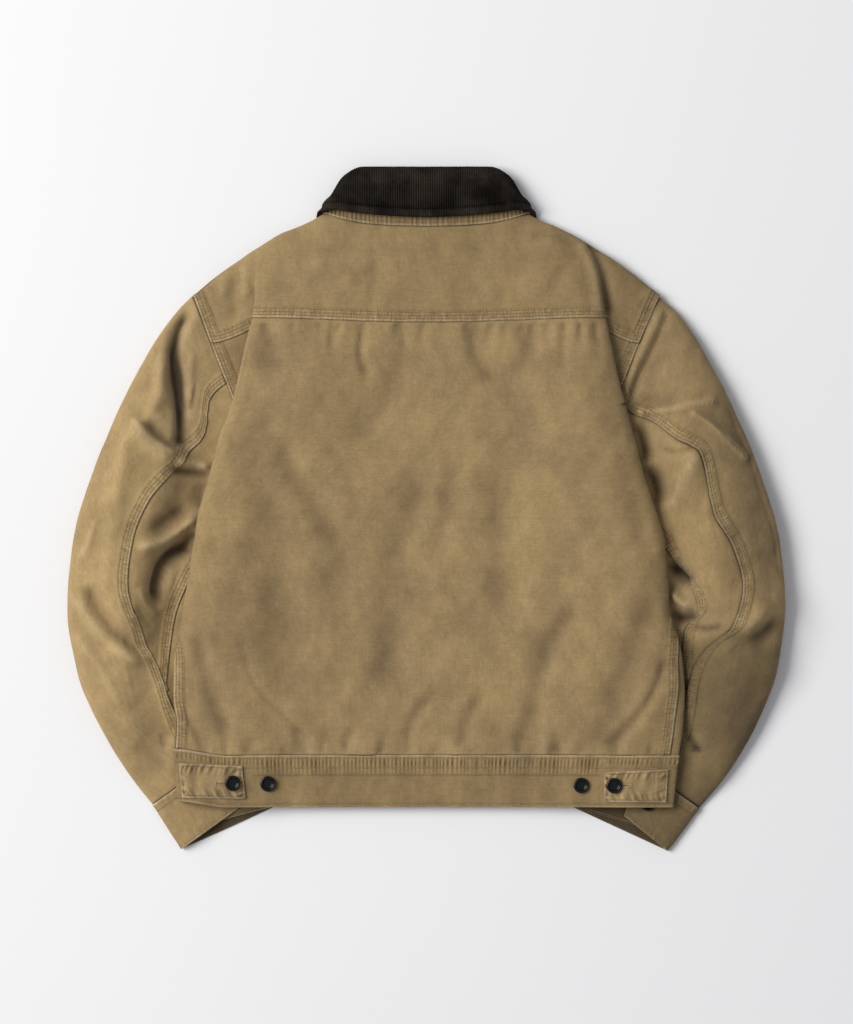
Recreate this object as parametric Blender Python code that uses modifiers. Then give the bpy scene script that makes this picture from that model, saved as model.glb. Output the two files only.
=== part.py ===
"""A short canvas work jacket with a corduroy collar, laid flat with its back up.

The jacket lies on the plane z = 0 with its hem towards -Y, and left and right are the wearer's, so
left is -X. Each cut piece is a grid of points on the form of the laid garment, made a wall by
Solidify. Lengths inside the form functions are millimetres, and MM turns them into metres.
"""

import math
from collections import namedtuple

import bmesh
import bpy
import numpy as np

MM = 0.001

# Cloth
CANVAS = 1.5
CORDUROY = 2.4
BAND_CLOTH = 2.4
TAB_CLOTH = 2.0
SEAM_GAP = 0.34
REST = 0.8  # height of the middle of a canvas ply that lies on the surface

# Body
HEM_SEAM = -267.0
HEM_EDGE = -323.0
YOKE_SEAM = 205.0
UNDERARM = -11.0
RIDGE_INSET = 38.0
OVERLAP = 12.0
BUTTON_LIFT = 3.9
COLLAR_LIFT = 3.4

# Buttons
BUTTON_WIDTH = 17.0
BUTTON_DEPTH = 3.4

SIDES = {"left": -1, "right": 1}

# The body's side, by height up the garment: the fold where the back turns under, how far round that
# fold the side seam lies (negative where it lies on top, and unused above the underarm), how deep the
# cloth tucks in before it comes out again to the armhole, and the heights of the underside and of
# the ridge along the edge.
BodyRow = namedtuple("BodyRow", "y edge past tuck under ridge")
BODY = {
    "left": [
        BodyRow(-323, 270.0, -3, 99, 14.5, 21.0),
        BodyRow(-267, 273.5, -3, 99, 13.2, 21.5),
        BodyRow(-235, 272.0, -3, 99, 12.6, 25.0),
        BodyRow(-200, 274.0, -3, 99, 13.2, 28.5),
        BodyRow(-160, 270.5, 0, 99, 13.8, 31.0),
        BodyRow(-113, 265.0, 26, 99, 14.8, 33.0),
        BodyRow(-71, 258.0, 56, 99, 15.2, 34.0),
        BodyRow(-30, 251.0, 78, 99, 15.4, 34.5),
        BodyRow(-11, 247.5, 89, 99, 15.4, 34.5),
        BodyRow(11, 242.0, 77, 90, 15.5, 34.5),
        BodyRow(41, 233.0, 55, 70, 15.7, 34.5),
        BodyRow(76, 225.0, 34, 45, 16.3, 34.0),
        BodyRow(102, 216.0, 19, 22, 17.2, 33.5),
        BodyRow(124, 209.0, 28, 14, 18.2, 33.0),
        BodyRow(148, 203.0, 42, 13, 18.8, 32.0),
        BodyRow(174, 197.0, 62, 15, 19.0, 31.0),
        BodyRow(205, 188.0, 85, 16, 18.8, 29.0),
    ],
    "right": [
        BodyRow(-323, 267.0, -9, 99, 14.5, 21.0),
        BodyRow(-267, 273.5, -11, 99, 13.2, 21.5),
        BodyRow(-235, 278.0, -12, 99, 12.6, 25.0),
        BodyRow(-200, 280.0, -11, 99, 13.2, 28.5),
        BodyRow(-160, 277.0, -7, 99, 13.8, 31.0),
        BodyRow(-113, 265.0, 12, 99, 14.8, 33.0),
        BodyRow(-69, 261.0, 52, 99, 15.2, 34.0),
        BodyRow(-30, 257.5, 88, 99, 15.4, 34.5),
        BodyRow(-11, 252.0, 101, 99, 15.4, 34.5),
        BodyRow(11, 245.0, 88, 98, 15.5, 34.5),
        BodyRow(41, 234.5, 62, 78, 15.7, 34.5),
        BodyRow(76, 226.0, 38, 48, 16.3, 34.0),
        BodyRow(102, 219.0, 21, 24, 17.2, 33.5),
        BodyRow(124, 213.0, 20, 16, 18.2, 33.0),
        BodyRow(148, 206.0, 30, 13, 18.8, 32.0),
        BodyRow(174, 201.0, 52, 14, 19.0, 31.0),
        BodyRow(205, 194.0, 76, 16, 18.8, 29.0),
    ],
}

# The middle of the back, by height up the garment.
CentreRow = namedtuple("CentreRow", "y height")
CENTRE = [
    CentreRow(-323, 12.0),
    CentreRow(-267, 12.5),
    CentreRow(-200, 15.0),
    CentreRow(-50, 18.5),
    CentreRow(120, 20.0),
    CentreRow(205, 19.5),
    CentreRow(310, 18.0),
]

# A sleeve's cross lines from the armhole (t = 0) to the cuff seam (t = 1): the outer end, on the
# sleeve's outline, the inner end, which lies under the body, the height of the filled cloth, how far
# in from the outline the cloth rounds over, and its height where the body presses on it.
SleeveRow = namedtuple("SleeveRow", "t outer_x outer_y inner_x inner_y full round pressed")
SLEEVE = {
    "left": [
        SleeveRow(0.00, 253, 233, 160, -11, 15.0, 22, 12.2),
        SleeveRow(0.04, 272, 214, 163, -18, 18.0, 26, 12.2),
        SleeveRow(0.10, 296, 181, 167, -30, 25.0, 38, 12.2),
        SleeveRow(0.22, 332, 112, 175, -54, 35.0, 58, 12.2),
        SleeveRow(0.35, 362, 40, 183, -82, 41.0, 70, 12.0),
        SleeveRow(0.48, 384, -40, 190, -112, 43.0, 74, 11.6),
        SleeveRow(0.60, 389, -108, 197, -142, 41.0, 72, 11.0),
        SleeveRow(0.72, 380, -170, 203, -175, 36.0, 64, 10.0),
        SleeveRow(0.84, 354, -235, 206, -208, 28.0, 50, 9.0),
        SleeveRow(0.93, 322, -289, 206, -235, 17.0, 30, 7.8),
        SleeveRow(1.00, 297, -321, 203, -255, 9.4, 12, 7.0),
    ],
    "right": [
        SleeveRow(0.00, 252, 233, 150, -11, 15.0, 22, 12.2),
        SleeveRow(0.04, 272, 214, 154, -18, 18.0, 26, 12.2),
        SleeveRow(0.10, 296, 181, 159, -30, 25.0, 38, 12.2),
        SleeveRow(0.22, 332, 112, 170, -54, 35.0, 58, 12.2),
        SleeveRow(0.35, 362, 40, 181, -82, 41.0, 70, 12.0),
        SleeveRow(0.48, 384, -40, 190, -112, 43.0, 74, 11.6),
        SleeveRow(0.60, 389, -108, 197, -142, 41.0, 72, 11.0),
        SleeveRow(0.72, 381, -170, 203, -175, 36.0, 64, 10.0),
        SleeveRow(0.84, 357, -236, 206, -208, 28.0, 50, 9.0),
        SleeveRow(0.93, 323, -292, 206, -237, 17.0, 30, 7.8),
        SleeveRow(1.00, 296, -325, 202, -259, 9.4, 12, 7.0),
    ],
}

SWELL_START = 9.0  # how far clear of the body the sleeve's upper side starts to rise
SWELL_REACH = {"left": 50.0, "right": 50.0}  # and over what distance it rises to its full height
INNER_ROUND = 7.0  # how far in from its inner fold the sleeve rounds over
FOLD_HEIGHT_SHARE = 0.46  # height of the sleeve's folds between its lower and upper sides

# Where the sleeve's seams run over its upper side: the outer seam reaches the cuff, and the inner one
# meets it at the elbow panel's tip.
SeamPoint = namedtuple("SeamPoint", "x y")
OUTER_SEAM = {
    "left": [
        SeamPoint(213, 141), SeamPoint(225, 134), SeamPoint(237, 118), SeamPoint(240, 88),
        SeamPoint(268, 51), SeamPoint(301, 10), SeamPoint(318, -32), SeamPoint(324, -79),
        SeamPoint(309, -134), SeamPoint(297, -166), SeamPoint(276, -218), SeamPoint(246, -290),
    ],
    "right": [
        SeamPoint(211, 138), SeamPoint(219, 110), SeamPoint(247, 97), SeamPoint(273, 78),
        SeamPoint(296, 62), SeamPoint(312, -5), SeamPoint(332, -40), SeamPoint(343, -80),
        SeamPoint(333, -123), SeamPoint(305, -150), SeamPoint(287, -187), SeamPoint(278, -235),
        SeamPoint(246, -292),
    ],
}
INNER_SEAM = {
    "left": [
        SeamPoint(192, 65), SeamPoint(214, 0), SeamPoint(240, -45), SeamPoint(259, -77),
        SeamPoint(274, -115), SeamPoint(280, -150), SeamPoint(286, -197),
    ],
    "right": [
        SeamPoint(184, 65), SeamPoint(222, 10), SeamPoint(258, -37), SeamPoint(278, -66),
        SeamPoint(297, -105), SeamPoint(282, -132), SeamPoint(279, -160), SeamPoint(284, -193),
    ],
}
UNDER_SEAM_SHARE = 0.45  # where the hidden seam runs, across the sleeve's lower side

# The cuff's open end: where its flap, its outer fold, its inner fold and its underlap lie.
CuffEnd = namedtuple("CuffEnd", "flap fold inner underlap")
CUFF_END = {
    "left": CuffEnd((205, -325), (266, -369), (163, -322), (234, -341)),
    "right": CuffEnd((215, -333), (262, -371), (160, -324), (232, -345)),
}

# The collar from the middle of the back round to the middle of the front: the neck seam, the roll,
# the edge of the leaf, and how far the leaf lies flat under the front instead of over the stand.
CollarRow = namedtuple(
    "CollarRow", "neck_x neck_y neck_z roll_x roll_y roll_z leaf_x leaf_y leaf_z turned_under"
)
COLLAR = [
    CollarRow(0, 308.5, 18.4, 0, 372.0, 17.0, 0, 317.4, 25.5, 0.0),
    CollarRow(34, 309.2, 18.4, 34, 372.0, 17.0, 35, 318.6, 25.5, 0.0),
    CollarRow(68, 311.8, 18.0, 68, 372.0, 16.5, 78, 322.5, 25.0, 0.0),
    CollarRow(92, 316.6, 16.6, 88.5, 363.0, 14.5, 100, 325.5, 23.5, 0.0),
    CollarRow(105, 320.2, 13.4, 103, 342.0, 11.5, 113, 324.5, 18.0, 0.0),
    CollarRow(112, 321.4, 8.4, 110.5, 333.0, 9.4, 119, 323.0, 7.2, 0.65),
    CollarRow(111.5, 314, 5.9, 104.0, 319.0, 6.6, 120, 315.5, 1.8, 1.0),
    CollarRow(108, 305.0, 4.2, 101.0, 309.0, 5.2, 117, 301.0, 1.5, 1.0),
    CollarRow(97, 288.0, 4.2, 90.5, 293.5, 5.0, 108, 268.0, 1.5, 1.0),
    CollarRow(76, 267.0, 4.2, 71.0, 274.0, 5.0, 94, 234.0, 1.5, 1.0),
    CollarRow(45, 251.0, 4.6, 42.0, 259.0, 5.0, 68, 207.0, 1.5, 1.0),
    CollarRow(12, 243.5, 5.0, 10.5, 252.0, 5.2, 26, 196.0, 1.5, 1.0),
]

# The hem tabs' corners, from the top of the end sewn in at the side, and the buttons on the hem band.
TabCorners = namedtuple("TabCorners", "root_top tip_top tip_bottom root_bottom")
TABS = {
    "left": TabCorners((-269.0, -274.5), (-200, -278), (-196, -313.5), (-265.0, -312.5)),
    "right": TabCorners((262.5, -281.5), (193, -284.5), (193, -317), (260.0, -317.5)),
}
HEM_BUTTONS = {
    "left": {"tab": (-210, -296.3), "free": (-172, -297.3)},
    "right": {"tab": (203.5, -299), "free": (168, -299)},
}
FRONT_BUTTON_HEIGHTS = (-215, -120, -25, 70, 158)
CUFF_BUTTON = {"left": (238, -313), "right": (241, -319)}
CUFF_BUTTON_HEIGHT = 9.5


def through(at, values):
    """A smooth function through values given at rising places, which never overshoots them."""
    at = np.asarray(at, float)
    values = np.asarray(values, float)
    step = np.diff(at)
    slope = np.diff(values) / step
    turns = slope[:-1] * slope[1:] <= 0
    total = np.where(turns, 1.0, slope[:-1] + slope[1:])
    inner = np.where(turns, 0.0, 2 * slope[:-1] * slope[1:] / total)
    tangent = np.concatenate([slope[:1], inner, slope[-1:]])

    def value(x):
        """The curve's value at x."""
        x = np.clip(x, at[0], at[-1])
        i = np.clip(np.searchsorted(at, x, side="right") - 1, 0, len(step) - 1)
        t = (x - at[i]) / step[i]
        start = (1 + 2 * t) * (1 - t) ** 2 * values[i] + t * (1 - t) ** 2 * step[i] * tangent[i]
        end = t * t * (3 - 2 * t) * values[i + 1] + t * t * (t - 1) * step[i] * tangent[i + 1]
        return start + end

    return value


def columns(rows):
    """Each column after a table's first, as a smooth function of the first."""
    names = rows[0]._fields
    first = [row[0] for row in rows]
    return {name: through(first, [row[i] for row in rows]) for i, name in enumerate(names) if i}


def ease(x):
    """0 up to x = 0, 1 from x = 1, and a smooth step between."""
    x = np.clip(x, 0.0, 1.0)
    return x * x * (3 - 2 * x)


def line_through(points, per_span=14):
    """A dense smooth line through points; point i is at index i * per_span."""
    points = np.asarray(points, float)
    chord = np.maximum(np.linalg.norm(np.diff(points, axis=0), axis=1), 1e-6)
    at = np.concatenate([[0.0], np.cumsum(chord)])
    fine = np.concatenate(
        [np.linspace(a, b, per_span, endpoint=False) for a, b in zip(at[:-1], at[1:])] + [at[-1:]]
    )
    return np.stack([through(at, points[:, k])(fine) for k in range(points.shape[1])], axis=1)


def lengths(line):
    """Length along a line up to each of its points."""
    return np.concatenate([[0.0], np.cumsum(np.linalg.norm(np.diff(line, axis=0), axis=1))])


def sample(line, at):
    """The points of a line at the given lengths along it."""
    along = lengths(line)
    return np.stack([np.interp(at, along, line[:, k]) for k in range(line.shape[1])], axis=1)


SIDE_OF_BODY = {side: columns(rows) for side, rows in BODY.items()}
SLEEVE_AT = {side: columns(rows) for side, rows in SLEEVE.items()}
CENTRE_HEIGHT = columns(CENTRE)["height"]


# ---------------------------------------------------------------- sleeves


def sleeve_line(side, t):
    """The two ends of the sleeve's cross line at t, in plan, for the side given as if it were +X."""
    at = SLEEVE_AT[side]
    outer = np.array([at["outer_x"](t), at["outer_y"](t)])
    inner = np.array([at["inner_x"](t), at["inner_y"](t)])
    return outer, inner


def sleeve_top(side, t, x, y):
    """Height of the sleeve's upper cloth, before it rounds over at its two folds."""
    at = SLEEVE_AT[side]
    clear_of_body = np.abs(x) - SIDE_OF_BODY[side]["edge"](y)
    swell = ease((clear_of_body - SWELL_START) / SWELL_REACH[side])
    return at["pressed"](t) + (at["full"](t) - at["pressed"](t)) * swell


def sleeve_layer(side, t, q, upper):
    """Points of the sleeve's upper or lower cloth at distances q in from its outer fold."""
    outer, inner = sleeve_line(side, t)
    width = np.linalg.norm(inner - outer)
    along = (inner - outer) / width
    q = np.clip(q, 0.0, width)
    x = outer[0] + q * along[0]
    y = outer[1] + q * along[1]
    round_out = float(SLEEVE_AT[side]["round"](t))
    top = sleeve_top(side, t, x, y)
    near_out = np.clip((round_out - q) / round_out, 0, 1)
    near_in = np.clip((q - width + INNER_ROUND) / INNER_ROUND, 0, 1)
    spread = np.sqrt(np.clip(1 - near_out**2, 0, 1)) * np.sqrt(np.clip(1 - near_in**2, 0, 1))
    middle = REST + FOLD_HEIGHT_SHARE * (top - REST)
    z = middle + spread * ((top if upper else REST) - middle)
    return np.stack([x, y, z], axis=1)


def sleeve_reach(side, t):
    """Width of the sleeve along its cross line at t."""
    outer, inner = sleeve_line(side, t)
    return float(np.linalg.norm(inner - outer))


def seam_across(side, seam, t_values):
    """Distance in from the outer fold at which a seam crosses each of the sleeve's cross lines."""
    run = line_through([(p.x, p.y) for p in seam], per_span=30)
    dense = np.linspace(0, 1, 401)
    ends = [sleeve_line(side, t) for t in dense]
    outer = np.array([e[0] for e in ends])
    across = np.array([e[1] for e in ends]) - outer
    t_found = []
    q_found = []
    for point in run:
        to_point = point - outer
        turn = across[:, 0] * to_point[:, 1] - across[:, 1] * to_point[:, 0]
        i = int(np.argmin(np.abs(turn) / np.linalg.norm(across, axis=1)))
        t_found.append(dense[i])
        q_found.append(np.dot(to_point[i], across[i]) / np.linalg.norm(across[i]))
    t_found = np.maximum.accumulate(np.array(t_found) + 1e-7 * np.arange(len(run)))
    return np.interp(t_values, t_found, q_found)


def sleeve_ring(side, t):
    """The sleeve's section at t from its hidden seam out, over the top, in and back: a dense line, the
    length along it of a given distance q on the upper side, and its lengths at the two folds."""
    width = sleeve_reach(side, t)
    round_out = float(SLEEVE_AT[side]["round"](t))
    turn = np.linspace(0, math.pi / 2, 12)
    out = round_out * (1 - np.cos(turn))
    inside = width - INNER_ROUND + INNER_ROUND * np.sin(turn)
    across = np.concatenate([out, np.linspace(round_out, width - INNER_ROUND, 60)[1:-1], inside])
    hidden = UNDER_SEAM_SHARE * width
    lower = sleeve_layer(side, t, across, upper=False)
    upper = sleeve_layer(side, t, across, upper=True)
    start = lower[across < hidden][::-1]
    end = lower[across > hidden][::-1]
    seam = sleeve_layer(side, t, np.array([hidden]), upper=False)
    line = np.concatenate([seam, start, upper[1:], end[1:], seam])
    along = lengths(line)
    fold = along[len(start)]
    upper_lengths = along[len(start) : len(start) + len(across)]

    def length_at(q):
        """Length along the section at distance q in from the outer fold."""
        return float(np.interp(q, across, upper_lengths))

    return line, length_at, fold, upper_lengths[-1]


def spread(marks, counts):
    """Lengths that pass through every mark, with the given number of steps between them."""
    steps = [np.linspace(a, b, n, endpoint=False) for a, b, n in zip(marks[:-1], marks[1:], counts)]
    return np.concatenate([*steps, marks[-1:]])


def armhole(side):
    """The armhole seam's points, in plan and height, from the shoulder to the underarm."""
    q = np.linspace(0, sleeve_reach(side, 0.0), 80)
    return sleeve_layer(side, 0.0, q, upper=True)


ARMHOLE = {side: armhole(side) for side in SIDES}


def armhole_x(side, y):
    """Distance of the armhole seam from the middle of the body at height y."""
    line = ARMHOLE[side]
    return np.interp(-np.asarray(y, float), -line[:, 1], line[:, 0])


def armhole_z(side, y):
    """Height of the armhole seam off the surface at height y up the garment."""
    line = ARMHOLE[side]
    return np.interp(-np.asarray(y, float), -line[:, 1], line[:, 2])


# ---------------------------------------------------------------- body


def half_section(side, y):
    """The body's section at height y as a dense line from the middle of the back, over the edge and
    along the underside, and the length along it at the edge. Below the underarm it runs on to the
    middle of the front, and above it it ends at the armhole."""
    at = {name: float(value(y)) for name, value in SIDE_OF_BODY[side].items()}
    edge = at["edge"]
    under = at["under"]
    ridge = at["ridge"]
    middle = float(CENTRE_HEIGHT(y))
    turn = under + 0.34 * (ridge - under)
    points = [
        (0, middle),
        (0.30 * edge, middle + 0.02 * (ridge - middle)),
        (edge - 120, middle + 0.25 * (ridge - middle)),
        (edge - 75, middle + 0.72 * (ridge - middle)),
        (edge - RIDGE_INSET, ridge),
        (edge - 0.30 * RIDGE_INSET, turn + 0.72 * (ridge - turn)),
        (edge, turn),
        (edge - 4.5, under + 0.3),
    ]
    if y > UNDERARM:
        end_y = y + end_drop(y)
        outward = float(armhole_x(side, end_y))
        seam_z = float(armhole_z(side, end_y))
        nose = edge - at["tuck"]
        if outward < nose + 4:
            above = seam_z + CANVAS + 1.5
            points += [(max(outward + 8, 0.5 * (outward + edge)), under), (outward, above)]
        else:
            drop = min(3.4, under - seam_z)
            points += [
                (nose + 2, under),
                (nose, under - 0.5 * drop),
                (nose + 2, under - drop),
                (outward, seam_z + 1.2 * (1 - ease((y - 43) / 60))),
            ]
    else:
        inner = sleeve_inner_x(side, y)
        points += [
            (inner - 5, under - 0.2),
            (inner - 20, REST + 0.6 * (under - REST)),
            (inner - 36, REST + 0.15 * (under - REST)),
            (inner - 54, REST),
            (0, REST),
        ]
    line = line_through(points)
    return line, lengths(line)[6 * 14]


def end_drop(y):
    """How much lower than the middle of its row the cloth reaches the armhole."""
    return -22.5 * ease((y - 90) / 115)


def sleeve_inner_x(side, y):
    """Distance of the sleeve's inner fold from the middle of the body at height y."""
    rows = SLEEVE[side]
    fold = CUFF_END[side].inner
    heights = [-row.inner_y for row in rows] + [-fold[1]]
    return float(np.interp(-y, heights, [row.inner_x for row in rows] + [fold[0]]))


def back_height(x, y):
    """Height of the middle of the back's cloth over a point in plan."""
    side = "left" if x < 0 else "right"
    line, _ = half_section(side, y)
    top = line[: 6 * 14]
    return float(np.interp(abs(x), top[:, 0], top[:, 1]))


def seam_drop(y, along, at_edge, end):
    """How far the cloth has slid down beyond the edge, where the yoke seam shows lower."""
    share = ease((y - 90) / 115)
    rise = 4.5 * share * ease(along / at_edge) * (1 - ease((along - at_edge) / (end - at_edge + 1)))
    return rise + end_drop(y) * ease((along - at_edge) / (end - at_edge + 1))


def side_gap(side, y):
    """Half the gap at the side seam, measured along a row, which the seam crosses at a slant."""
    if y > UNDERARM:
        return 0.6 * SEAM_GAP
    past = SIDE_OF_BODY[side]["past"]
    slant = float(past(y + 4) - past(y - 4)) / 8
    at_edge = math.exp(-((float(past(y)) / 14) ** 2))
    at_underarm = math.exp(-(((y - UNDERARM) / 10) ** 2))
    return (0.75 + 1.3 * at_edge + at_underarm) * SEAM_GAP * math.hypot(1.0, slant)


def seam_at(side, y, line, at_edge):
    """The length along the section at which the back ends."""
    if y > UNDERARM:
        return lengths(line)[-1]
    return at_edge + float(SIDE_OF_BODY[side]["past"](y))


def back_row(side, y, count_top, count_edge, count_under):
    """One side's points of the back or yoke at height y, from the middle out to its end seam."""
    line, at_edge = half_section(side, y)
    seam = seam_at(side, y, line, at_edge)
    end = seam - side_gap(side, y)
    last = max(12.0, seam - at_edge - 8.0)
    at = np.concatenate(
        [
            np.linspace(0, at_edge - 45, count_top, endpoint=False),
            np.linspace(at_edge - 45, end - last, count_edge, endpoint=False),
            np.linspace(end - last, end, count_under),
        ]
    )
    flat = sample(line, at)
    drop = seam_drop(y, at, at_edge, max(seam, at_edge + 1))
    return np.stack([SIDES[side] * flat[:, 0], y + drop, flat[:, 1]], axis=1)


def body_row(y, count_top, count_edge, count_under):
    """The whole row of the back at height y, from the left end seam to the right one."""
    left = back_row("left", y, count_top, count_edge, count_under)
    right = back_row("right", y, count_top, count_edge, count_under)
    return np.concatenate([left[::-1], right[1:]])


def hem_tilt(points):
    """The hem climbs a little towards its left end."""
    low = ease((HEM_SEAM + 60 - points[..., 1]) / 60)
    points[..., 1] += 7.0 * ease((-points[..., 0] - 215) / 60) * low
    return points


def side_seam_heights(rows):
    """Row heights from the hem to the underarm, shared by the back and the fronts."""
    return np.linspace(HEM_SEAM + SEAM_GAP / 2, UNDERARM, rows)


def back_grid(rows_low, rows_high, count_top, count_edge, count_under):
    """The back panel's middle surface, from the hem seam up to the yoke seam."""
    above = np.linspace(UNDERARM, YOKE_SEAM - SEAM_GAP / 2, rows_high)[1:]
    heights = np.concatenate([side_seam_heights(rows_low), above])
    return hem_tilt(np.array([body_row(y, count_top, count_edge, count_under) for y in heights]))


# Shoulder line from the neck to the armhole, and the neck seam, for +X.
NECK_POINT = (112.0, 321.4)
SHOULDER = through(
    [112, 126, 144, 161, 176, 190, 204, 228, 253], [321.4, 313.8, 306, 298, 289, 280, 271, 254, 233]
)
BACK_NECK_ROWS = COLLAR[:6]
FRONT_NECK_ROWS = COLLAR[:4:-1]
NECK = through([row.neck_x for row in BACK_NECK_ROWS], [row.neck_y for row in BACK_NECK_ROWS])
FRONT_NECK = through([row.neck_x for row in FRONT_NECK_ROWS], [row.neck_y for row in FRONT_NECK_ROWS])
SHOULDER_ROUND = 30.0
SHOULDER_MIDDLE = 8.4
SHOULDER_END = 252.5  # x of the shoulder line's end at the armhole
YOKE_EDGE_TOP = 181.0  # x at which the body's edge fold reaches the shoulder line


def yoke_top(x):
    """Where the yoke ends: the neck seam, then the shoulder fold."""
    x = np.abs(x)
    return np.where(x < NECK_POINT[0], NECK(x), SHOULDER(x))


def shoulder_fall(x, y):
    """0 on the flat of the yoke, rising to 1 on the shoulder fold, where the cloth stands upright."""
    left = np.clip((yoke_top(x) - y) / SHOULDER_ROUND, 0, 1)
    rounded = 1 - np.sqrt(1 - (1 - left) ** 2)
    return rounded * ease((np.abs(x) - 88) / 28)


def yoke_grid(rows, count_top, count_edge, count_under):
    """The yoke from its seam with the back up to the neck seam and the shoulder fold."""
    seam_row = body_row(YOKE_SEAM, count_top, count_edge, count_under)
    half = len(seam_row) // 2
    from_middle = np.arange(half + 1)
    on_top = count_top + count_edge
    seam_row[:, 1] += SEAM_GAP
    # a wider gap round the tucked fold, where the two cloths' walls turn in different planes
    extra = SEAM_GAP * np.interp(from_middle - on_top + 1, [-1, 0, 2, 4], [0, 9, 9, 1])
    top_row = np.zeros_like(seam_row)
    for side, sign in SIDES.items():
        column = half + sign * from_middle
        seam_row[column, 1] += extra
        edge = float(SIDE_OF_BODY[side]["edge"](YOKE_SEAM))
        across = np.abs(seam_row[column, 0])
        last = np.flatnonzero((from_middle <= on_top) & (across <= edge))[-1]
        top = across * YOKE_EDGE_TOP / edge
        top[last:] = np.linspace(top[last], SHOULDER_END, half - last + 1)
        top_row[column, 0] = sign * top
    top_row[:, 1] = yoke_top(top_row[:, 0])
    flat_height = through([0, 60, 112, 180, 253], [18.2, 17.6, 17.6, 18.5, 15.0])
    top_row[:, 2] = flat_height(np.abs(top_row[:, 0]))
    steps = np.sin(np.linspace(0, math.pi / 2, rows)) ** 1.15
    grid = []
    for step in steps:
        row = seam_row + step * (top_row - seam_row)
        fall = shoulder_fall(row[:, 0], row[:, 1])
        row[:, 2] += fall * (SHOULDER_MIDDLE - row[:, 2])
        grid.append(row)
    return np.array(grid)


# ---------------------------------------------------------------- fronts


def front_lift(side, x, y):
    """How far the front stands off the surface: over the buttons, the overlap and the collar leaf."""
    inward = np.abs(x)
    near_middle = 1 - ease((inward - 15) / 34)
    above_hem = ease((y - HEM_SEAM) / 30)
    lift = BUTTON_LIFT * near_middle * above_hem
    if side == "right":
        lift = lift + (CANVAS + SEAM_GAP + 0.1) * near_middle
    over_leaf = ease((y - 148) / 24) * (1 - ease((inward - 128) / 24))
    return np.maximum(lift, COLLAR_LIFT * over_leaf)


def front_row(side, y, inner_edge):
    """One row of a front, a dense line from its middle edge to its side or armhole seam."""
    if y <= UNDERARM:
        line, at_edge = half_section(side, y)
        along = lengths(line)
        clear_of_armhole = 4.0 * math.exp(-(((y - UNDERARM) / 6) ** 2))
        start = seam_at(side, y, line, at_edge) + side_gap(side, y) + clear_of_armhole
        at = np.concatenate([[start], along[along > start + 0.4]])
        part = sample(line, at)[::-1]
        part = part[part[:, 0] > max(inner_edge, 0) + 0.5]
    else:
        at_underarm = math.exp(-(((y - UNDERARM) / 16) ** 2))
        end = float(armhole_x(side, y)) - (0.6 + 8 * at_underarm) * SEAM_GAP
        across = np.linspace(max(inner_edge, 0) + 0.5, end, 40)
        climb = ease((across - end + 14) / 14) * (1 - ease((y - UNDERARM) / 22))
        part = np.stack([across, REST + 6.0 * climb], axis=1)
    start = np.array([[inner_edge, REST]])
    flat = np.concatenate([start, part])
    return np.stack([flat[:, 0], np.full(len(flat), y), flat[:, 1]], axis=1)


def front_grid(side, rows_low, rows_high, across):
    """A front as a grid, laid out as if it were on the +X side."""
    inner_edge = -OVERLAP
    heights = np.concatenate([side_seam_heights(rows_low), np.linspace(UNDERARM + 14, 110, 4)])
    placket = np.array([0.0, 25.0, 43.0, 62.0])
    grid = []
    for y in heights:
        row = front_row(side, y, inner_edge)
        total = lengths(row)[-1]
        rest = 1 - (1 - np.linspace(0, 1, across - len(placket) + 1)) ** 1.6
        at = np.concatenate([placket[:-1], placket[-1] + (total - placket[-1]) * rest])
        grid.append(sample(row, at))
    low = grid[-1]
    share = lengths(low) / lengths(low)[-1]
    neck_share = 0.45
    top_x = np.where(
        share < neck_share,
        inner_edge + (NECK_POINT[0] - inner_edge) * (share / neck_share),
        NECK_POINT[0] + (SHOULDER_END - NECK_POINT[0]) * (share - neck_share) / (1 - neck_share),
    )
    top_y = np.where(share < neck_share, FRONT_NECK(top_x), SHOULDER(top_x)) - SEAM_GAP / 2
    top = np.stack([top_x, top_y, np.full(len(low), REST)], axis=1)
    start = low[-1]
    for step in np.linspace(0, 1, rows_high)[1:]:
        eased = math.sin(step * math.pi / 2)
        row = low + eased * (top - low)
        # the end follows the armhole instead of the straight line
        end_y = start[1] + eased * (top[-1, 1] - start[1])
        shift = float(armhole_x(side, end_y)) - SEAM_GAP / 2 - row[-1, 0]
        row[:, 0] += shift * share**6
        grid.append(row)
    grid = np.array(grid)
    fall = front_shoulder_fall(grid[..., 0], grid[..., 1])
    grid[..., 2] += front_lift(side, grid[..., 0], grid[..., 1])
    grid[..., 2] += fall * (SHOULDER_MIDDLE - 1.2 - grid[..., 2])
    grid[..., 0] *= SIDES[side]
    return hem_tilt(grid)


def front_shoulder_fall(x, y):
    """0 on the flat of a front, rising to 1 on the shoulder fold."""
    left = np.clip((SHOULDER(x) - y) / SHOULDER_ROUND, 0, 1)
    rounded = 1 - np.sqrt(1 - (1 - left) ** 2)
    return rounded * ease((x - 104) / 12)


# ---------------------------------------------------------------- hem band and tabs


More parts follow.
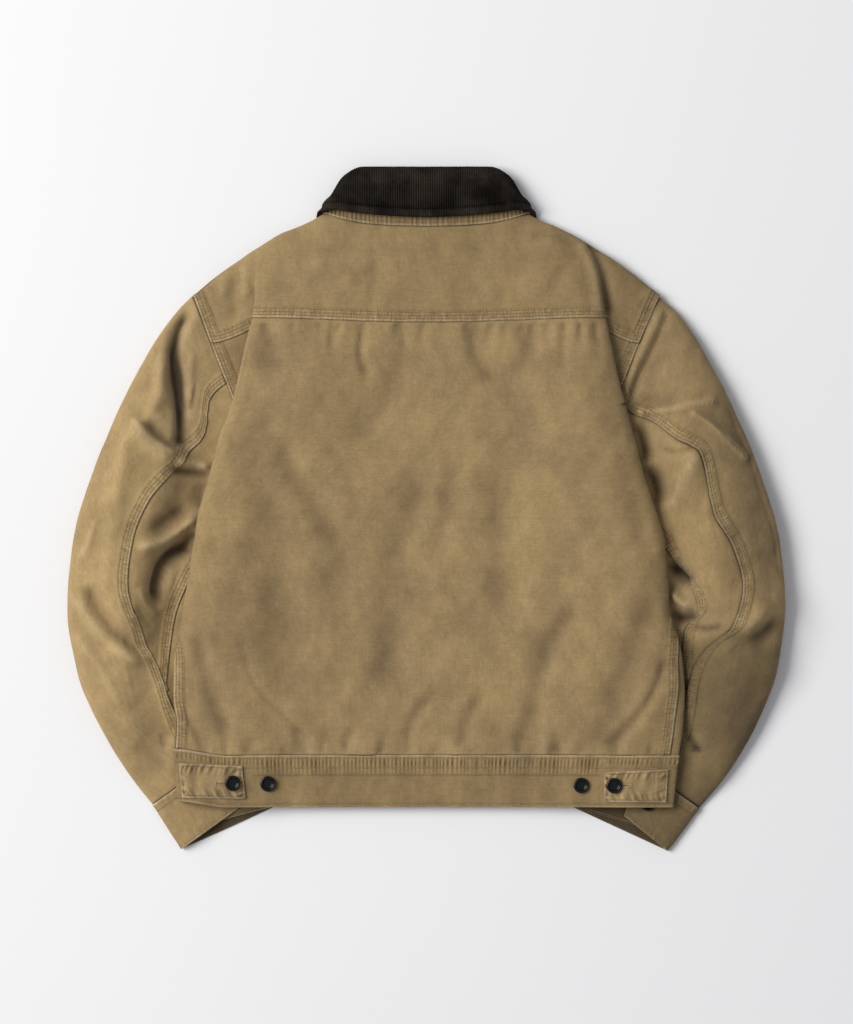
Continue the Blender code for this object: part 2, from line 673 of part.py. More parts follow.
def band_row(y, count_front, count_under, count_top):
    """The band's ring at height y, from the left front's end, round both sides, to the right one's."""
    halves = []
    for side, sign in SIDES.items():
        line, at_edge = half_section(side, y)
        along = lengths(line)
        total = along[-1]
        at = np.concatenate(
            [
                np.linspace(0, at_edge - 40, count_top, endpoint=False),
                np.linspace(at_edge - 40, at_edge + 12, 9, endpoint=False),
                np.linspace(at_edge + 12, total - 50, count_under, endpoint=False),
                np.linspace(total - 50, total - 14, count_front),
            ]
        )
        flat = sample(line, at)
        z = flat[:, 1].copy()
        on_floor = at > at_edge + 12
        z[on_floor] = np.maximum(z[on_floor], BAND_CLOTH / 2)
        lift = (BAND_CLOTH + SEAM_GAP) * (1 - ease((flat[:, 0] - 16) / 30)) if side == "right" else 0.0
        z = np.where(on_floor, z + lift, z)
        half = np.stack([sign * flat[:, 0], np.full(len(flat), y), z], axis=1)
        end = np.array([[-sign * OVERLAP, y, half[-1, 2]]])
        halves.append(np.concatenate([half, end]))
    row = np.concatenate([halves[0][::-1], halves[1][1:]])
    return row


def band_grid(rows, count_front, count_under, count_top):
    """The hem band's middle surface, from its top edge down."""
    heights = np.linspace(HEM_EDGE, HEM_SEAM - 1.5 * SEAM_GAP, rows)
    return hem_tilt(np.array([band_row(y, count_front, count_under, count_top) for y in heights]))


def on_band(x, y, lift):
    """A point held off the hem band's outer face."""
    side = "left" if x < 0 else "right"
    edge = float(SIDE_OF_BODY[side]["edge"](y))
    x_flat = math.copysign(min(abs(x), edge - 9.0), x)
    height = max(back_height(x_flat - 4, y), back_height(x_flat + 4, y))
    return np.array([x, y, height + BAND_CLOTH / 2 + lift])


def tab_grid(side, across, along):
    """A tab's middle surface, between its four corners, on the hem band."""
    sign = SIDES[side]
    corners = [np.array([sign * abs(x), y], float) for x, y in TABS[side]]
    root_top, tip_top, tip_bottom, root_bottom = corners
    grid = []
    for v in np.linspace(0, 1, across):
        row = []
        for u in np.linspace(0, 1, along):
            top = root_top + u * (tip_top - root_top)
            bottom = root_bottom + u * (tip_bottom - root_bottom)
            x, y = bottom + v * (top - bottom)
            row.append(on_band(x, y, SEAM_GAP + TAB_CLOTH / 2))
        grid.append(row)
    grid = np.array(grid)
    return grid if sign < 0 else grid[:, ::-1]


# ---------------------------------------------------------------- collar


# Which of the table's rows, counted from 0, the collar's own rows lie on or between.
COLLAR_ROWS = (0, 1, 2, 3, 4, 4.5, 5, 5.5, 6, 7, 8, 9, 10, 11)


def collar_stations():
    """Neck, roll and leaf points round the collar, from the front's left end to its right end."""
    table = np.array(COLLAR, float)
    dense = np.array(COLLAR_ROWS, float)
    right = np.stack([through(range(len(COLLAR)), column)(dense) for column in table.T], axis=1)
    left = right[::-1].copy()
    left[:, [0, 3, 6]] *= -1
    return np.concatenate([left[:-1], right])


# Where the leaf's columns lie between its edge (0), its middle (1), the roll (2 to 3) and its end (4).
LEAF_COLUMNS = (0.0, 0.5, 1.0, 1.6, 2.0, 3.0, 4.0)


def collar_leaf_grid():
    """The corduroy leaf, from its edge up to the roll."""
    grid = []
    for station in collar_stations():
        neck, roll, leaf = station[:9].reshape(3, 3)
        under = station[9]
        over_stand = 0.5 * (roll + leaf) + [0, 0, 2.6]
        on_floor = np.array([*(0.7 * neck + 0.3 * leaf)[:2], leaf[2]])
        middle = over_stand + under * (on_floor - over_stand)
        back = (leaf - roll) / np.linalg.norm(leaf - roll)
        near_roll = roll + back * (5 - 3 * under) + [0, 0, 1.8]
        near_roll[2] += under * (leaf[2] + 0.3 - near_roll[2])
        nose = roll + [0, 0, -1.4 * under]
        tip = roll + [0, 0, -2.6 + 3.4 * under] + back * 1.5 * under
        line = line_through([leaf, middle, near_roll, nose, tip])
        grid.append(sample(line, np.interp(LEAF_COLUMNS, range(5), lengths(line)[::14])))
    return np.array(grid)


STAND_SHORT = 5.6  # how far short of the roll the stand ends, inside the leaf's turned end


def collar_stand_grid(across):
    """The canvas stand, from the neck seam up under the leaf to the roll."""
    grid = []
    for station in collar_stations():
        neck, roll, _ = station[:9].reshape(3, 3)
        under = station[9]
        outward = (roll - neck) / np.linalg.norm(roll - neck)
        start = neck + outward * SEAM_GAP * (3.2 + 2.2 * under)
        reach = np.linalg.norm(roll - neck)
        end = neck + min(0.82, 1 - STAND_SHORT * (2.9 - 1.9 * under) / reach) * (roll - neck)
        end[2] += -2.4 * (1 - under)
        line = line_through([start, 0.5 * (start + end), end])
        total = lengths(line)[-1]
        grid.append(sample(line, np.linspace(0, total, across)))
    return np.array(grid)


# ---------------------------------------------------------------- sleeve pieces


def seam_tip(side):
    """Where along the sleeve the elbow panel ends in a point."""
    tip = np.array(INNER_SEAM[side][-1])
    dense = np.linspace(0, 1, 401)
    off = []
    for t in dense:
        outer, inner = sleeve_line(side, t)
        along = (inner - outer) / np.linalg.norm(inner - outer)
        to_tip = tip - outer
        off.append(abs(along[0] * to_tip[1] - along[1] * to_tip[0]))
    return float(dense[int(np.argmin(off))])


# Steps across the outer panel, between its hidden seam, the fold's start, the fold, its end and the
# outer seam, and across the under panel, between the inner seam, a near line, the fold and the hidden
# seam.
OUTER_COLUMNS = (3, 2, 2, 4)
UNDER_COLUMNS = (2, 2, 1, 1, 3)


def sleeve_panels(side, rows):
    """The three panels of a sleeve as grids, with rows along it from the armhole to the cuff."""
    tip = seam_tip(side)
    rows_above = round(rows * tip)
    above = tip * np.linspace(0, 1, rows_above) ** 1.15
    times = np.concatenate([above, np.linspace(tip + 0.012, 1, rows - rows_above)])
    outer = seam_across(side, OUTER_SEAM[side], times)
    inner = seam_across(side, INNER_SEAM[side], times)
    half = 0.6 * SEAM_GAP
    grids = {"outer": [], "elbow": [], "under": []}
    for i, t in enumerate(times):
        line, length_at, fold, inner_fold = sleeve_ring(side, min(max(t, 0.0012), 0.9985))
        total = lengths(line)[-1]
        first = length_at(outer[i])
        has_elbow = i < rows_above
        second = length_at(max(inner[i], outer[i] + 3.0)) if has_elbow else first
        turn = min(0.6 * length_at(20.0) - 0.6 * fold + 14, 0.4 * fold, 0.4 * (first - fold))
        marks = [half, fold - turn, fold, fold + turn, first - half]
        grids["outer"].append(sample(line, spread(marks, OUTER_COLUMNS)))
        if has_elbow:
            grids["elbow"].append(sample(line, spread([first + half, second - half], [3])))
        near_seam = second + half + min(18.0, 0.3 * (inner_fold - second))
        marks = [second + half, near_seam, inner_fold - 8, inner_fold, inner_fold + 8, total - half]
        grids["under"].append(sample(line, spread(marks, UNDER_COLUMNS)))
    turned = {name: np.array(grid) for name, grid in grids.items()}
    for grid in turned.values():
        grid[..., 0] *= SIDES[side]
    return turned


# ---------------------------------------------------------------- cuffs


def cuff_grid(side, rows, cols):
    """A cuff from its flap's end, out round its outer fold, under, and back up into the underlap."""
    outer, inner = sleeve_line(side, 1.0)
    width = np.linalg.norm(inner - outer)
    along = (inner - outer) / width
    down = np.array([along[1], -along[0]])
    down = down if down[1] < 0 else -down
    start = outer + down * 0.8 * SEAM_GAP
    seam_row = [
        (78, 7.0), (45, 7.0), (22, 8.3), (8, 8.0), (0, 4.6), (8, 1.3), (0.5 * width, 1.2),
        (width - 8, 1.2), (width, 2.6), (width - 8, 4.0), (52, 4.0),
    ]
    top = [np.array([*(start + q * along), z]) for q, z in seam_row]
    end = CUFF_END[side]
    flap, fold, turn, lap = (np.array(point, float) for point in end)
    to_flap = (flap - fold) / np.linalg.norm(flap - fold)
    to_turn = (turn - fold) / np.linalg.norm(turn - fold)
    to_lap = (lap - turn) / np.linalg.norm(lap - turn)
    reach = np.linalg.norm(flap - fold)
    edge_row = [
        (flap, 7.2), (fold + 0.6 * reach * to_flap, 8.8), (fold + 0.32 * reach * to_flap, 9.4),
        (fold + 8 * to_flap, 8.2), (fold, 4.6), (fold + 8 * to_turn, 1.3),
        (0.5 * (fold + turn), 1.2), (turn - 8 * to_turn, 1.2), (turn, 2.6),
        (turn + 8 * to_lap, 4.0), (lap, 4.1),
    ]
    bottom = [np.array([*point, z]) for point, z in edge_row]
    grid = []
    for v in np.linspace(0, 1, rows):
        line = line_through([a + v * (b - a) for a, b in zip(top, bottom)])
        marks = lengths(line)[::14]
        spread = np.interp(np.linspace(0, 10, cols), range(11), marks)
        grid.append(sample(line, spread))
    grid = np.array(grid)
    grid[..., 0] *= SIDES[side]
    return grid


# ---------------------------------------------------------------- making the objects


def new_material(name, colour, roughness, metallic=0.0):
    """A plain material."""
    material = bpy.data.materials.new(name)
    material.use_nodes = True
    shader = material.node_tree.nodes["Principled BSDF"]
    shader.inputs["Base Color"].default_value = (*colour, 1.0)
    shader.inputs["Roughness"].default_value = roughness
    shader.inputs["Metallic"].default_value = metallic
    return material


def add_object(name, mesh, material, collection):
    """Puts a mesh into the scene as a named object."""
    obj = bpy.data.objects.new(name, mesh)
    mesh.materials.append(material)
    collection.objects.link(obj)
    return obj


def sheet(name, grid, wall, material, collection):
    """A grid of points in millimetres, made a wall of the given thickness about those points."""
    grid = np.asarray(grid) * MM
    rows, cols = grid.shape[:2]
    work = bmesh.new()
    made = bmesh.ops.create_grid(work, x_segments=cols - 1, y_segments=rows - 1, size=1.0)
    ordered = sorted(made["verts"], key=lambda v: (round(v.co.y, 5), round(v.co.x, 5)))
    for vert, point in zip(ordered, grid.reshape(-1, 3)):
        vert.co = point
    mesh = bpy.data.meshes.new(name)
    work.to_mesh(mesh)
    work.free()
    mesh.shade_smooth()
    obj = add_object(name, mesh, material, collection)
    thicken = obj.modifiers.new("wall", "SOLIDIFY")
    thicken.thickness = wall * MM
    thicken.offset = 0.0
    thicken.use_even_offset = False
    return obj


def button_mesh():
    """A dished button turned about +Z, with its back on z = 0."""
    r = BUTTON_WIDTH / 2
    profile = [
        (0.0, 0.58 * BUTTON_DEPTH), (0.5 * r, 0.62 * BUTTON_DEPTH), (0.72 * r, BUTTON_DEPTH),
        (0.9 * r, 0.95 * BUTTON_DEPTH), (r, 0.55 * BUTTON_DEPTH), (0.86 * r, 0.0), (0.0, 0.0),
    ]
    mesh = bpy.data.meshes.new("button")
    edges = [(i, i + 1) for i in range(len(profile) - 1)]
    mesh.from_pydata([(x * MM, 0, z * MM) for x, z in profile], edges, [])
    return mesh


def add_button(name, mesh, steps, place, material, collection, face_down=False):
    """Puts one button into the scene, with its back on the place given."""
    obj = add_object(name, mesh, material, collection)
    obj.location = [c * MM for c in place]
    if face_down:
        obj.rotation_euler = (math.pi, 0, 0)
    turned = obj.modifiers.new("turned", "SCREW")
    turned.steps = steps
    turned.render_steps = steps
    turned.use_merge_vertices = True
    turned.merge_threshold = 0.00002
    return obj


def add_buttons(collection):
    """Puts the hem, cuff and front buttons in their places."""
    resin = new_material("button_resin", (0.012, 0.011, 0.012), 0.25)
    steps = 14
    mesh = button_mesh()
    for side, sign in SIDES.items():
        for kind, (x, y) in HEM_BUTTONS[side].items():
            lift = SEAM_GAP + (TAB_CLOTH + SEAM_GAP if kind == "tab" else 0.0)
            place = on_band(sign * abs(x), y, lift + 0.4)
            add_button(f"button_hem_{side}_{kind}", mesh.copy(), steps, place, resin, collection)
        x, y = CUFF_BUTTON[side]
        place = (sign * x, y, CUFF_BUTTON_HEIGHT)
        add_button(f"button_cuff_{side}", mesh.copy(), steps, place, resin, collection)
    for i, y in enumerate(FRONT_BUTTON_HEIGHTS):
        place = (0.0, y, 0.1 + BUTTON_DEPTH)
        add_button(f"button_front_{i + 1}", mesh.copy(), steps, place, resin, collection, True)


def clear_scene():
    """Empties the scene that Blender starts with."""
    for obj in list(bpy.data.objects):
        bpy.data.objects.remove(obj, do_unlink=True)


def main():
    """Builds every piece of the jacket."""
    clear_scene()
    collection = bpy.data.collections.new("chore_jacket")
    bpy.context.scene.collection.children.link(collection)
    canvas = new_material("canvas", (0.25, 0.17, 0.085), 0.85)

    sheet("back", back_grid(10, 8, 4, 6, 6), CANVAS, canvas, collection)
    sheet("yoke", yoke_grid(7, 4, 6, 6), CANVAS, canvas, collection)
    for side in SIDES:
        sheet(f"front_{side}", front_grid(side, 10, 5, 14), CANVAS, canvas, collection)
    sheet("hem_band", band_grid(3, 3, 5, 6), BAND_CLOTH, canvas, collection)
    corduroy = new_material("corduroy", (0.035, 0.027, 0.02), 0.9)
    sheet("collar_leaf", collar_leaf_grid(), CORDUROY, corduroy, collection)
    sheet("collar_stand", collar_stand_grid(3), CANVAS, canvas, collection)
    for side in SIDES:
        sheet(f"tab_{side}", tab_grid(side, 3, 6), TAB_CLOTH, canvas, collection)
        panels = sleeve_panels(side, 16)
        for name, grid in panels.items():
            sheet(f"sleeve_{side}_{name}", grid, CANVAS, canvas, collection)
        sheet(f"cuff_{side}", cuff_grid(side, 3, 19), BAND_CLOTH, canvas, collection)
    add_buttons(collection)


main()
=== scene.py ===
"""A short canvas work jacket with a corduroy collar, laid flat with its back up: its visual model.

Every cloth piece is a thin shell on the form of its CAD solid, with folds, puckers, seams and
stitches laid into it. Lengths inside the form functions are millimetres, and MM turns them into
metres.
"""

import math
from collections import namedtuple

import bpy
import numpy as np
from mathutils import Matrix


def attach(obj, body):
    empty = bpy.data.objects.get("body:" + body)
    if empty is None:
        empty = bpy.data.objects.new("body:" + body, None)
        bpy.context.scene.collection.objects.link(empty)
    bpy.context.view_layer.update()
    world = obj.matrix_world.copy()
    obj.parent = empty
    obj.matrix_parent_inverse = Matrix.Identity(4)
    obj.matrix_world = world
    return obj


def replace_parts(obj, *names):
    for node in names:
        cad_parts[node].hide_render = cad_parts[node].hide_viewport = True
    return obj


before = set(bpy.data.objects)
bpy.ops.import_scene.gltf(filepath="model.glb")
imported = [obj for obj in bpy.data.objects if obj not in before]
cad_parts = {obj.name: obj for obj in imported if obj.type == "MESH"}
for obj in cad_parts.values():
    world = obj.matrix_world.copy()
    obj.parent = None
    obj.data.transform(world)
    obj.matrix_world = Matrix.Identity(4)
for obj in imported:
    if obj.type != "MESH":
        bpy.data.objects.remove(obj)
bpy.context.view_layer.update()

MM = 0.001

# Cloth: how thick each kind is, and the gap at a seam
CANVAS = 1.5
CORDUROY = 2.4
BAND_CLOTH = 2.4
TAB_CLOTH = 2.0
SEAM_GAP = 0.34
REST = 0.8  # height of the middle of a canvas ply that lies on the surface

# Body: heights up the garment of its seams, and how its cloth lies
HEM_SEAM = -267.0
YOKE_SEAM = 205.0
UNDERARM = -11.0
SLOPE_FOOT = 120.0  # how far in from the edge the cloth starts to climb to the ridge
SLOPE_MIDDLE = 75.0
RIDGE_INSET = 38.0  # how far in from the edge the ridge runs
EDGE_SHARE = 0.34  # height of the edge between the underside and the ridge
OVERLAP = 12.0  # how far a front runs past the middle
BUTTON_LIFT = 3.9  # how far the fronts stand off the surface over the buttons
COLLAR_LIFT = 3.4  # and over the collar's leaf

# Buttons
BUTTON_WIDTH = 17.0
BUTTON_DEPTH = 3.4

SIDES = {"left": -1, "right": 1}


def table(kind, rows):
    """A table's rows with their columns named."""
    return [kind(*row) for row in rows]


# The body's side, by height up the garment: the fold where the back turns under, how far round that
# fold the side seam lies (negative where it lies on top, and unused above the underarm), how deep the
# cloth tucks in before it comes out again to the armhole, and the heights of the underside and of
# the ridge along the edge.
BodyRow = namedtuple("BodyRow", "y edge past tuck under ridge")
BODY = {
    "left": table(BodyRow, [
        (-323, 270.0, -3, 99, 14.5, 21.0),
        (-267, 273.5, -3, 99, 13.2, 21.5),
        (-235, 272.0, -3, 99, 12.6, 25.0),
        (-200, 274.0, -3, 99, 13.2, 28.5),
        (-160, 270.5, 0, 99, 13.8, 31.0),
        (-113, 265.0, 26, 99, 14.8, 33.0),
        (-71, 258.0, 56, 99, 15.2, 34.0),
        (-30, 251.0, 78, 99, 15.4, 34.5),
        (-11, 247.5, 89, 99, 15.4, 34.5),
        (11, 242.0, 77, 90, 15.5, 34.5),
        (41, 233.0, 55, 70, 15.7, 34.5),
        (76, 225.0, 34, 45, 16.3, 34.0),
        (102, 216.0, 19, 22, 17.2, 33.5),
        (124, 209.0, 28, 14, 18.2, 33.0),
        (148, 203.0, 42, 13, 18.8, 32.0),
        (174, 197.0, 62, 15, 19.0, 31.0),
        (205, 188.0, 85, 16, 18.8, 29.0),
    ]),
    "right": table(BodyRow, [
        (-323, 267.0, -9, 99, 14.5, 21.0),
        (-267, 273.5, -11, 99, 13.2, 21.5),
        (-235, 278.0, -12, 99, 12.6, 25.0),
        (-200, 280.0, -11, 99, 13.2, 28.5),
        (-160, 277.0, -7, 99, 13.8, 31.0),
        (-113, 265.0, 12, 99, 14.8, 33.0),
        (-69, 261.0, 52, 99, 15.2, 34.0),
        (-30, 257.5, 88, 99, 15.4, 34.5),
        (-11, 252.0, 101, 99, 15.4, 34.5),
        (11, 245.0, 88, 98, 15.5, 34.5),
        (41, 234.5, 62, 78, 15.7, 34.5),
        (76, 226.0, 38, 48, 16.3, 34.0),
        (102, 219.0, 21, 24, 17.2, 33.5),
        (124, 213.0, 20, 16, 18.2, 33.0),
        (148, 206.0, 30, 13, 18.8, 32.0),
        (174, 201.0, 52, 14, 19.0, 31.0),
        (205, 194.0, 76, 16, 18.8, 29.0),
    ]),
}

# The middle of the back, by height up the garment.
CentreRow = namedtuple("CentreRow", "y height")
CENTRE = table(CentreRow, [
    (-323, 12.0),
    (-267, 12.5),
    (-200, 15.0),
    (-50, 18.5),
    (120, 20.0),
    (205, 19.5),
    (310, 18.0),
])

# A sleeve's cross lines from the armhole (t = 0) to the cuff seam (t = 1): the outer end, on the
# sleeve's outline, and the inner end, which lies under the body.
SleeveRow = namedtuple("SleeveRow", "t outer_x outer_y inner_x inner_y")
SLEEVE = {
    "left": table(SleeveRow, [
        (0.00, 253, 233, 160, -11),
        (0.04, 272, 214, 163, -18),
        (0.10, 296, 181, 167, -30),
        (0.22, 332, 112, 175, -54),
        (0.35, 362, 40, 183, -82),
        (0.48, 384, -40, 190, -112),
        (0.60, 389, -108, 197, -142),
        (0.72, 380, -170, 203, -175),
        (0.84, 354, -235, 206, -208),
        (0.93, 322, -289, 206, -235),
        (1.00, 297, -321, 203, -255),
    ]),
    "right": table(SleeveRow, [
        (0.00, 252, 233, 150, -11),
        (0.04, 272, 214, 154, -18),
        (0.10, 296, 181, 159, -30),
        (0.22, 332, 112, 170, -54),
        (0.35, 362, 40, 181, -82),
        (0.48, 384, -40, 190, -112),
        (0.60, 389, -108, 197, -142),
        (0.72, 381, -170, 203, -175),
        (0.84, 357, -236, 206, -208),
        (0.93, 323, -292, 206, -237),
        (1.00, 296, -325, 202, -259),
    ]),
}

# How both sleeves are filled out: the height of the cloth, how far in from the outline it rounds over,
# and its height where the body presses on it.
FillRow = namedtuple("FillRow", "t full round pressed")
FILL = table(FillRow, [
    (0.00, 15.0, 22, 12.2),
    (0.04, 18.0, 26, 12.2),
    (0.10, 25.0, 38, 12.2),
    (0.22, 35.0, 58, 12.2),
    (0.35, 41.0, 70, 12.0),
    (0.48, 43.0, 74, 11.6),
    (0.60, 41.0, 72, 11.0),
    (0.72, 36.0, 64, 10.0),
    (0.84, 28.0, 50, 9.0),
    (0.93, 17.0, 30, 7.8),
    (1.00, 9.4, 12, 7.0),
])

SWELL_START = 9.0  # how far clear of the body the sleeve's upper side starts to rise
SWELL_REACH = 50.0  # and over what distance it rises to its full height
INNER_ROUND = 7.0  # how far in from its inner fold the sleeve rounds over
FOLD_HEIGHT_SHARE = 0.46  # height of the sleeve's folds between its lower and upper sides

# Where the sleeve's seams run over its upper side, as x and y: the outer seam reaches the cuff, and
# the inner one meets it at the elbow panel's tip.
OUTER_SEAM = {
    "left": [
        (213, 141), (225, 134), (237, 118), (240, 88), (268, 51), (301, 10), (318, -32), (324, -79),
        (309, -134), (297, -166), (276, -218), (246, -290),
    ],
    "right": [
        (211, 138), (219, 110), (247, 97), (273, 78), (296, 62), (312, -5), (332, -40), (343, -80),
        (333, -123), (305, -150), (287, -187), (278, -235), (246, -292),
    ],
}
INNER_SEAM = {
    "left": [(192, 65), (214, 0), (240, -45), (259, -77), (274, -115), (280, -150), (286, -197)],
    "right": [
        (184, 65), (222, 10), (258, -37), (278, -66), (297, -105), (282, -132), (279, -160), (284, -193),
    ],
}
UNDER_SEAM_SHARE = 0.45  # where the hidden seam runs, across the sleeve's lower side

# The cuff's open end: where its flap, its outer fold, its inner fold and its underlap lie.
CuffEnd = namedtuple("CuffEnd", "flap fold inner underlap")
CUFF_END = {
    "left": CuffEnd((205, -325), (266, -369), (163, -322), (234, -341)),
    "right": CuffEnd((215, -333), (262, -371), (160, -324), (232, -345)),
}

# The collar from the middle of the back round to the middle of the front: the neck seam, the roll,
# the edge of the leaf, and how far the leaf lies flat under the front instead of over the stand.
CollarRow = namedtuple(
    "CollarRow", "neck_x neck_y neck_z roll_x roll_y roll_z leaf_x leaf_y leaf_z turned_under"
)
COLLAR = table(CollarRow, [
    (0, 308.5, 18.4, 0, 372.0, 17.0, 0, 317.4, 25.5, 0.0),
    (34, 309.2, 18.4, 34, 372.0, 17.0, 35, 318.6, 25.5, 0.0),
    (68, 311.8, 18.0, 68, 372.0, 16.5, 78, 322.5, 25.0, 0.0),
    (92, 316.6, 16.6, 88.5, 363.0, 14.5, 100, 325.5, 23.5, 0.0),
    (105, 320.2, 13.4, 103, 342.0, 11.5, 113, 324.5, 18.0, 0.0),
    (112, 321.4, 8.4, 110.5, 333.0, 9.4, 119, 323.0, 7.2, 0.65),
    (111.5, 314, 5.9, 104.0, 319.0, 6.6, 120, 315.5, 1.8, 1.0),
    (108, 305.0, 4.2, 101.0, 309.0, 5.2, 117, 301.0, 1.5, 1.0),
    (97, 288.0, 4.2, 90.5, 293.5, 5.0, 108, 268.0, 1.5, 1.0),
    (76, 267.0, 4.2, 71.0, 274.0, 5.0, 94, 234.0, 1.5, 1.0),
    (45, 251.0, 4.6, 42.0, 259.0, 5.0, 68, 207.0, 1.5, 1.0),
    (12, 243.5, 5.0, 10.5, 252.0, 5.2, 26, 196.0, 1.5, 1.0),
])

# The hem tabs' corners, from the top of the end sewn in at the side, and the buttons on the hem band.
TabCorners = namedtuple("TabCorners", "root_top tip_top tip_bottom root_bottom")
TABS = {
    "left": TabCorners((-269.0, -274.5), (-200, -278), (-196, -313.5), (-265.0, -312.5)),
    "right": TabCorners((262.5, -281.5), (193, -284.5), (193, -317), (260.0, -317.5)),
}
HEM_BUTTONS = {
    "left": {"tab": (-210, -296.3), "free": (-172, -297.3)},
    "right": {"tab": (203.5, -299), "free": (168, -299)},
}
FRONT_BUTTON_HEIGHTS = (-215, -120, -25, 70, 158)
CUFF_BUTTON = {"left": (238, -313), "right": (241, -319)}
CUFF_BUTTON_HEIGHT = 9.5

